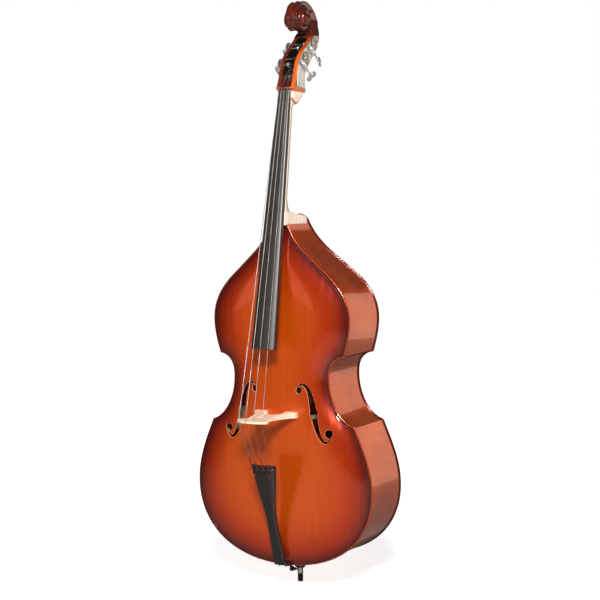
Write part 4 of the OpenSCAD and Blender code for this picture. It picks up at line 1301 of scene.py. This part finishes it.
# ---------------------------------------------------------------- strings
ROLLER_AT = [head_at(67, 90), head_at(120, 147.5), head_at(133, 161), head_at(77, 109)]
ROLLER_SIDE = [-1, -1, 1, 1]
WRAP_SIDE = [1, 1, 1, -1]
COIL_X = [-9.5, -4, 6, 13]
ROLLER_R = 6


def string_fret(i):
    """Where a string bends over the tailpiece's fret."""
    x = lane(i, TAIL_GAP)
    return along_tail(x, 10, 4 + STRING_R[i] - sag(x, 110))


def string_bridge(i):
    """Where a string crosses the bridge."""
    x = lane(i, BRIDGE_GAP)
    return np.array([x, -BRIDGE_REACH + sag(x, BRIDGE_R) - 0.4, BRIDGE_Z])


def string_nut(i):
    """Where a string crosses the nut."""
    x = lane(i, NUT_GAP)
    return np.array([x, NUT_Y + sag(x, BOARD_R) - 1.5 - STRING_R[i], NUT_Z + 3])


def string_roller(i):
    """Where the string first touches its roller."""
    n = string_nut(i)[1:]
    c = ROLLER_AT[i]
    dist = np.linalg.norm(c - n)
    d = (c - n) / dist
    q = ROLLER_R + STRING_R[i] + 0.15
    p = c - d * q * q / dist + WRAP_SIDE[i] * np.array([d[1], -d[0]]) * q * math.sqrt(1 - (q / dist) ** 2)
    return np.array([COIL_X[i], *p])


def strings():
    for i, letter in enumerate(LETTERS):
        r = STRING_R[i]
        ball = along_tail(lane(i, TAIL_GAP), 25, -TAIL_T - 5)
        touch = string_roller(i)
        c = ROLLER_AT[i]
        q = ROLLER_R + r + 0.15
        a0 = math.atan2(touch[2] - c[1], touch[1] - c[0])
        coils = []
        for t in np.linspace(0, 3.4, 110)[1:]:
            a = a0 + WRAP_SIDE[i] * 2 * math.pi * t
            coils.append((COIL_X[i] + ROLLER_SIDE[i] * (2 * r + 0.1) * t, c[0] + q * math.cos(a),
                          c[1] + q * math.sin(a)))
        bends = [ball, string_fret(i), string_bridge(i), string_nut(i), touch]
        path = [bends[0]]
        for a, b, e in zip(bends[:-2], bends[1:-1], bends[2:]):
            v, w = (b - a) / np.linalg.norm(b - a), (e - b) / np.linalg.norm(e - b)
            path += [b - 2.5 * v, b - 0.8 * v + 0.05 * w, b + 0.8 * w - 0.05 * v, b + 2.5 * w]
        path += [touch - (touch - path[-1]) * 0.02, *coils]
        path = np.array(path)
        verts, faces = tube(path, r, 10)
        s = np.concatenate([[0], np.cumsum(np.linalg.norm(np.diff(path, axis=0), axis=1))])
        knob = lathe([(1.2, -2.6), (3.2, -2.2), (3.2, 2.2), (1.2, 2.6)], ball, bends[1] - ball, 16)
        ob = piece("string_" + letter, *merge((verts, faces), knob), MAT["string"],
                   stands_for=["string_" + letter], smooth=50)
        store(ob, "along", np.concatenate([np.repeat(s, 10), np.zeros(len(knob[0]))]))
        silk(i, letter)


def silk(i, letter):
    """Thread wound over a string near the tailpiece and in the pegbox."""
    a, c = string_fret(i), string_nut(i)
    v = (string_bridge(i) - a) / np.linalg.norm(string_bridge(i) - a)
    w = (string_roller(i) - c) / np.linalg.norm(string_roller(i) - c)
    parts = []
    for start, way, long in ((a + 6 * v, v, (40, 22, 40, 22)[i]), (c + 12 * w, w, 38)):
        n = 4 * long
        s = np.linspace(0, long, n)
        ends = np.clip(np.minimum(s, long - s) / 0.8, 0, 1)
        radius = STRING_R[i] + 0.08 + 0.32 * np.sqrt(ends) + 0.07 * np.sin(s * 2 * math.pi / 1.1)
        parts.append(tube(start + s[:, None] * way, radius, 10))
    ob = piece("silk_" + letter, *merge(*parts), MAT["silk"], smooth=60,
               stands_for=["string_silks"] if letter == "e" else ())


# ---------------------------------------------------------------- tuners
CHEEK_X = 33
PLATE_X = 34.5
GEAR_X = 43.5
GEAR_T = 6
GEAR_R = 20
WORM_R = 6.5
TEETH = 20
PITCH = 2 * math.pi * GEAR_R / TEETH
DIP = math.radians(35)
KEY_TURN = [70, 10, -18, 33]
KEY_REACH = 61
PLATE_SCREWS = [head_at(45, 26), head_at(76, 26), head_at(92, 128), head_at(112, 108), head_at(158, 186),
                head_at(178, 178)]


def screw(at, s, head_r, head_h, turn, shank=(1.5, 9)):
    """A slotted dome-head screw that points along X, its head on side s. Returns its shape and its slot."""
    dome = [(head_r, 0.0), (head_r, 0.25 * head_h)]
    dome += [(head_r * math.cos(a), head_h * (0.25 + 0.75 * math.sin(a))) for a in np.linspace(0.15, 1.5, 8)]
    profile = [(shank[0] * 0.6, -shank[1]), (shank[0], -shank[1] + 1), (shank[0], 0)] + dome
    body = lathe(profile, at, (s, 0, 0), 28)
    wide = 0.13 * head_r + 0.15
    verts, faces = brick((-0.1, -head_r - 1, -wide), (head_h + 2, head_r + 1, wide))
    c, n = math.cos(turn), math.sin(turn)
    y, z = verts[:, 1] * c - verts[:, 2] * n, verts[:, 1] * n + verts[:, 2] * c
    slot = np.stack([at[0] + s * (verts[:, 0] + head_h * 0.5), at[1] + y, at[2] + z], 1)
    return body, (slot, faces)


def tuner_plates():
    loop = np.vstack([FRONT_EDGE[13:58] + (6, -1), [THROAT + (2, -12), head_at(176, 190)],
                      BACK_EDGE[26:60] + (-3, 2), [head_at(86, 56), head_at(84, 12), head_at(36, 16)]])
    for name, s in (("left", -1), ("right", 1)):
        holes = [ring(ROLLER_AT[i], ROLLER_R + 0.1, 28) for i in range(4) if ROLLER_SIDE[i] == s]
        holes += [ring(p, 1.5, 14) for p in PLATE_SCREWS]
        verts, faces = relief(even(loop, 3.0, closed=True), holes, level(s * CHEEK_X), level(s * PLATE_X))
        ob = piece("tuner_plate_" + name, verts[:, [2, 0, 1]], faces, MAT["plate"],
                   stands_for=["tuner_plate_" + name])
        bevel(ob, 0.35, 2)
    parts, slots = [], []
    for k, p in enumerate(PLATE_SCREWS):
        for s in (-1, 1):
            body, slot = screw((s * PLATE_X, *p), s, 3.2, 1.7, 0.7 * k + s)
            parts.append(body)
            slots.append(slot)
    ob = piece("plate_screws", *merge(*parts), MAT["screw"], stands_for=["tuner_plate_screws"])
    cut(ob, *merge(*slots))


def worm_point(i, p):
    """From a worm's own frame (X to the gear's axis, Z towards the key) to the body frame."""
    p = np.asarray(p, float).reshape(-1, 3)
    ex = np.array([0, math.sin(DIP), math.cos(DIP)])
    ez = np.array([0, math.cos(DIP), -math.sin(DIP)])
    c = ROLLER_AT[i] - (GEAR_R + WORM_R) * np.array([math.sin(DIP), math.cos(DIP)])
    at = np.array([ROLLER_SIDE[i] * GEAR_X, *c])
    return at + p[:, :1] * ex + p[:, 1:2] * np.array([1, 0, 0]) + p[:, 2:] * ez


def brackets():
    parts = []
    for i in range(4):
        s = ROLLER_SIDE[i]
        for z in (-20, 20):
            a = np.linspace(-math.pi / 2, math.pi / 2, 17)
            cap = np.stack([6 * np.sin(a), 6 * np.cos(a) * 0.98], 1)
            loop = np.vstack([[(-6, -8.95), (-6, -1)], cap[1:-1], [(6, -1), (6, -8.95)]]) * (1, s)
            if s < 0:
                loop = loop[::-1]
            hole = ring((0, 0), 2.6, 24)
            verts, faces = relief(even(loop, 1.5, closed=True), [hole], level(z - 2.5), level(z + 2.5))
            parts.append((worm_point(i, verts), faces))
    ob = bevel(piece("worm_brackets", *merge(*parts), MAT["nickel"], stands_for=["worm_brackets"]), 0.5)


def gear_outline():
    """Gear teeth with rounded tips and roots."""
    points = []
    turn = -math.pi / 2 - DIP
    flank = [(-2.0, 1.9), (-1.2, 1.5), (0.2, 1.15), (1.25, 0.8), (1.6, 0.45)]
    tooth = [(out, -across) for out, across in flank] + flank[::-1]
    for k in range(TEETH):
        for out, across in tooth:
            a = turn + k * 2 * math.pi / TEETH + across / GEAR_R
            points.append(((GEAR_R + out) * math.cos(a), (GEAR_R + out) * math.sin(a)))
    return np.array(points)


def tuner(i, letter):
    s = ROLLER_SIDE[i]
    c = ROLLER_AT[i]
    at = (0, *c)
    out = (s, 0, 0)
    spool = [(4.6, -31), (5.6, -30.6), (6, -30), (6, -24), (6, 26), (6, 34.4), (5.6, 34.7), (4, 34.8),
             (4, 46.3)]
    ob = piece("roller_" + letter, *lathe(spool, at, out, 40), MAT["roller"], letter + "_roller",
               ["roller_" + letter], smooth=30)

    teeth = gear_outline()
    bore = ring((0, 0), 4.02, 32)
    dish = lambda u, v: s * (GEAR_X + GEAR_T / 2 - 0.9 * ((np.hypot(u, v) > 8.5) & (np.hypot(u, v) < 15.5)))
    steps = [ring((0, 0), r, 48) for r in (8.2, 8.8, 15.2, 15.8)]
    flat, tris, _ = triangulate([teeth, bore, *steps], np.zeros((0, 2)),
                                lambda q: inside(q, teeth) & ~inside(q, bore))
    near = np.column_stack([dish(flat[:, 0], flat[:, 1]), flat + c])
    far = np.column_stack([np.full(len(flat), s * (GEAR_X - GEAR_T / 2)), flat + c])
    wheel = sandwich(near, far, tris)
    hub = lathe([(4.2, 34.9), (8.6, 34.9), (9, 35.3), (9, 40.4), (4.2, 40.4)], at, out, 40)
    ob = piece("gear_" + letter, *merge(wheel, hub), MAT["brass"], letter + "_roller",
               ["gear_" + letter], smooth=30)
    bevel(ob, 0.25, 1, 50)

    body, slot = screw((s * (GEAR_X + GEAR_T / 2), *c), s, 6.5, 3, 0.4 + i, shank=(2, 8))
    ob = piece("gear_screw_" + letter, *body, MAT["screw"], letter + "_roller", ["gear_screw_" + letter])
    cut(ob, *slot)
    worm(i, letter)
    key(i, letter)


def worm(i, letter):
    """The helical thread as rings whose radius follows the turn, on a plain shaft."""
    around, along = 40, 150
    z = np.linspace(-15, 15, along + 1)
    a = np.arange(around) * 2 * math.pi / around
    u = z[:, None] / PITCH - a[None] / (2 * math.pi)
    v = np.abs(u - np.floor(u) - 0.5) * PITCH
    r = WORM_R + 1.5 - 3.4 * np.clip((v - 0.7) / 1.1, 0, 1) ** 1.2
    ends = np.minimum(z + 15, 15 - z)[:, None]
    r = np.minimum(r, 4.3 + ends * 1.6)
    rings = [np.stack([rr * np.cos(a), rr * np.sin(a), np.full(around, zz)], 1) for rr, zz in zip(r, z)]
    thread = loft(rings)
    shaft = lathe([(2.1, -25), (2.5, -24.5), (2.5, -17.4), (4.0, -17.3), (4.0, -15.0), (2.5, -14.9),
                   (2.5, 14.9), (4.0, 15.0), (4.0, 17.3), (2.5, 17.4), (2.5, 22.8), (3.6, 22.9), (3.6, 25),
                   (2.5, 25.1), (2.5, 51.5)], sides=28)
    verts, faces = merge(thread, shaft)
    ob = piece("worm_" + letter, worm_point(i, verts), faces, MAT["nickel"], letter + "_worm",
               ["worm_" + letter], smooth=40)


def key(i, letter):
    """The butterfly key: two dished lobes on a turned hub."""
    lobes = [ring((s * 9.5, KEY_REACH), 10.4, 60) for s in (1, -1)]
    neck_box = np.array([(-5, 50), (5, 50), (6, 60), (-6, 60)], float)
    loop = even(union_outline([*lobes, neck_box]), 1.6, closed=True)

    def half(u, v):
        rho = np.minimum(np.hypot(u - 9.5, v - KEY_REACH), np.hypot(u + 9.5, v - KEY_REACH))
        dish = 0.9 * np.clip(1 - (rho / 7.5) ** 2, 0, 1)
        middle = 0.7 * np.exp(-(u / 3.0) ** 2)
        return np.minimum(1.95 - dish + middle, 2.4)

    verts, faces = relief(loop, [], lambda u, v: -half(u, v), half, grid=1.9)
    blade = (verts[:, [0, 2, 1]], faces)
    hub = lathe([(3.0, 42.9), (4.3, 43.2), (4.5, 43.8), (4.5, 48.5), (3.7, 49.5), (3.5, 51), (4.0, 53),
                 (3.4, 56), (2.4, 58.5)], sides=32)
    verts, faces = merge(blade, hub)
    t = math.radians(KEY_TURN[i])
    turned = np.stack([verts[:, 0] * math.cos(t) - verts[:, 1] * math.sin(t),
                       verts[:, 0] * math.sin(t) + verts[:, 1] * math.cos(t), verts[:, 2]], 1)
    ob = piece("key_" + letter, worm_point(i, turned), faces, MAT["nickel"], letter + "_worm",
               ["key_" + letter], smooth=40)
    bevel(ob, 0.7, 2, 50)


# ---------------------------------------------------------------- endpin
def bored(profile, centre, n):
    """A turned shape whose caps are replaced by a wall from its last ring back to its first."""
    verts, faces = lathe(profile, centre, sides=n)
    last = len(profile) - 1
    wall = [(k, (k + 1) % n, last * n + (k + 1) % n, last * n + k) for k in range(n)]
    return verts, faces[:-2] + wall


def endpin():
    base = (0, PIN_Y, 0)
    bend = bezier((11, -34), (18, -33), (20, -24), (20, -16), 12)
    profile = [(5.06, 40), (5.06, -33.6), (6, -34)] + [tuple(p) for p in bend]
    profile += [(20, -16), (20, -8.6), (19.4, -7.6), (15.6, -7), (15, -6.4), (15, -2.6), (15.6, -2),
                (18.6, -1.5), (19.4, -1.1), (19.7, -0.2), (20, 0.4), (20, 3.6), (14, 4), (13.4, 43.5),
                (12.6, 44), (5.06, 44)]
    ob = piece("endpin_collar", *bored(profile, base, 64), MAT["collar"], stands_for=["endpin_collar"],
               smooth=30)

    profile = [(5.1, -34.05), (9.2, -34.05), (9.6, -34.5), (9.6, -36.2), (9.2, -36.6), (9.6, -37),
               (9.6, -48.6), (9.2, -49), (9.6, -49.4), (9.6, -51.2), (9.0, -51.9), (5.1, -51.9)]
    ob = piece("endpin_ferrule", *bored(profile, base, 48), MAT["chrome"], stands_for=["endpin_ferrule"],
               smooth=30)

    rod = [(3.6, -74), (4.98, -73)] + [(4.98, z) for z in np.linspace(-60, 310, 12)]
    rod += [(4.98, 325), (4, 326)]
    ob = piece("endpin_rod", *lathe(rod, base, sides=32), MAT["chrome"], "endpin", ["endpin_rod"], smooth=30)

    tip = [(2, -80), (6.5, -80), (7.6, -79.6), (8.6, -78.4), (9, -77)]
    for z in (-73, -69, -65):
        tip += [(9, z - 1.2), (8.5, z - 0.7), (8.5, z + 0.7), (9, z + 1.2)]
    tip += [(9, -58), (8.4, -53.6), (7.4, -52.8), (5.05, -52.7)]
    ob = piece("endpin_tip", *lathe(tip, base, sides=48), MAT["rubber"], "endpin", ["endpin_tip"], smooth=40)

    grip = []
    for h, r, wave in ((5.4, 2.2, 0), (5.9, 2.9, 0), (19.8, 2.9, 0), (20, 5.2, 0), (20.5, 5.5, 0),
                       (27.6, 5.5, 0), (28, 8.2, 0.5), (28.6, 8.9, 0.9), (36.2, 8.9, 0.9), (36.9, 8.2, 0.5),
                       (37, 3, 0)):
        a = np.arange(64) * 2 * math.pi / 64
        rr = r - wave * (0.5 - 0.5 * np.cos(8 * a)) ** 3
        grip.append(np.stack([-np.full(64, h), PIN_Y + rr * np.cos(a), -41 + rr * np.sin(a)], 1))
    ob = piece("thumbscrew", *loft(grip), MAT["collar"], "thumbscrew", ["endpin_thumbscrew"], smooth=35)


def inner_parts():
    """Blocks, linings and bracing keep their CAD shapes, in bare wood."""
    for name in ("linings_front", "linings_back", "corner_blocks", "neck_block", "end_block", "back_braces",
                 "bass_bar", "sound_post"):
        ob = frame["nodes"][name]
        ob.data.materials.clear()
        ob.data.materials.append(MAT["softwood"])


# ---------------------------------------------------------------- floor, light and camera
def soft_light(name, at, aim, size, power, tint=(1, 1, 1)):
    light = bpy.data.lights.new(name, "AREA")
    light.shape = "RECTANGLE"
    light.size, light.size_y = size
    light.energy = power
    light.color = tint
    ob = bpy.data.objects.new(name, light)
    scene.collection.objects.link(ob)
    ob.location = at
    ob.rotation_euler = (Vector(aim) - Vector(at)).to_track_quat("-Z", "Y").to_euler()
    return ob


FLOOR_RINGS = (1.0, 2.6, 14.0)
CAMERA_AT = (2.304, -4.064, 1.240)
CAMERA_TURN = (29.39, -3.67, -0.91)
CAMERA_LENS, SENSOR = 85.15, 36


def studio():
    """A pale flat floor, soft lights, and the camera."""
    m = Nodes("floor", 0.35)
    tone = m.noise(3, 2)
    pale = m.ramp(tone, [(0.3, (0.84, 0.84, 0.84)), (0.7, (0.88, 0.88, 0.88))])
    path = m.tree.nodes.new("ShaderNodeLightPath").outputs
    m.set("Base Color", m.mix(m.math("MULTIPLY", path["Is Glossy Ray"], 0.75), pale, (0.05, 0.04, 0.035)))
    seen = path["Is Camera Ray"]
    m.set("Emission Color", (1, 1, 1, 1))
    glow = m.math("ADD", m.math("MULTIPLY", m.attribute("far"), 0.27), 0.75)
    m.set("Emission Strength", m.math("MULTIPLY", seen, glow))
    count = 64
    turns = np.linspace(0, 2 * math.pi, count, endpoint=False)
    verts = [(r * math.cos(a), r * math.sin(a), 0) for r in FLOOR_RINGS for a in turns]
    faces = [tuple(range(count))]
    for k in (0, count):
        faces += [(k + i, k + count + i, k + count + (i + 1) % count, k + (i + 1) % count)
                  for i in range(count)]
    mesh = bpy.data.meshes.new("floor")
    mesh.from_pydata(verts, [], faces)
    mesh.materials.append(m.mat)
    floor = bpy.data.objects.new("floor", mesh)
    scene.collection.objects.link(floor)
    store(floor, "far", [0.0] * count + [1.0] * 2 * count)

    soft_light("left", (-2.6, -4.2, 1.85), (0, 0, 1.0), (3.0, 2.0), 10, (1, 0.80, 0.58))
    soft_light("left_low", (-2.7, -4.3, 1.35), (0, 0, 0.8), (3.2, 2.4), 2, (1, 0.82, 0.62))
    soft_light("key", (2.0, -3.6, 3.2), (0, 0, 0.9), (0.9, 0.9), 370, (1, 0.96, 0.90))
    soft_light("rear", (1.6, 2.3, 1.1), (0.2, 0, 0.8), (1.3, 2.3), 9, (1, 0.80, 0.62))
    soft_light("back_fill", (-2.4, 3.4, 2.6), (0, 0, 1.0), (1.6, 2.2), 22, (1, 0.94, 0.86))

    world = bpy.data.worlds.new("studio")
    world.use_nodes = True
    tree = world.node_tree
    back = tree.nodes["Background"]
    back.inputs["Color"].default_value = (1, 1, 1, 1)
    seen = tree.nodes.new("ShaderNodeLightPath")
    power = tree.nodes.new("ShaderNodeMapRange")
    power.inputs["To Min"].default_value = 0.05
    power.inputs["To Max"].default_value = 1.0
    tree.links.new(seen.outputs["Is Camera Ray"], power.inputs["Value"])
    tree.links.new(power.outputs["Result"], back.inputs["Strength"])
    scene.world = world

    yaw, pitch, roll = (math.radians(a) for a in CAMERA_TURN)
    ahead = Vector((-math.sin(yaw) * math.cos(pitch), math.cos(yaw) * math.cos(pitch), math.sin(pitch)))
    right = Vector((math.cos(yaw), math.sin(yaw), 0))
    up = right.cross(ahead)
    right, up = right * math.cos(roll) + up * math.sin(roll), up * math.cos(roll) - right * math.sin(roll)
    turn = Matrix((right, up, -ahead)).transposed().to_4x4()
    lens = bpy.data.cameras.new("camera")
    lens.lens = CAMERA_LENS
    lens.sensor_width = SENSOR
    cam = bpy.data.objects.new("camera", lens)
    cam.matrix_world = Matrix.Translation(CAMERA_AT) @ turn
    scene.collection.objects.link(cam)
    scene.camera = cam
    scene.view_settings.view_transform = "Standard"
    scene.view_settings.look = "None"


top_plate()
purfling()
back_plate()
ribs()
neck()
fingerboard()
nut()
saddle()
bridge()
tailpiece()
tail_wire()
strings()
tuner_plates()
brackets()
for number, letter in enumerate(LETTERS):
    tuner(number, letter)
endpin()
inner_parts()
studio()
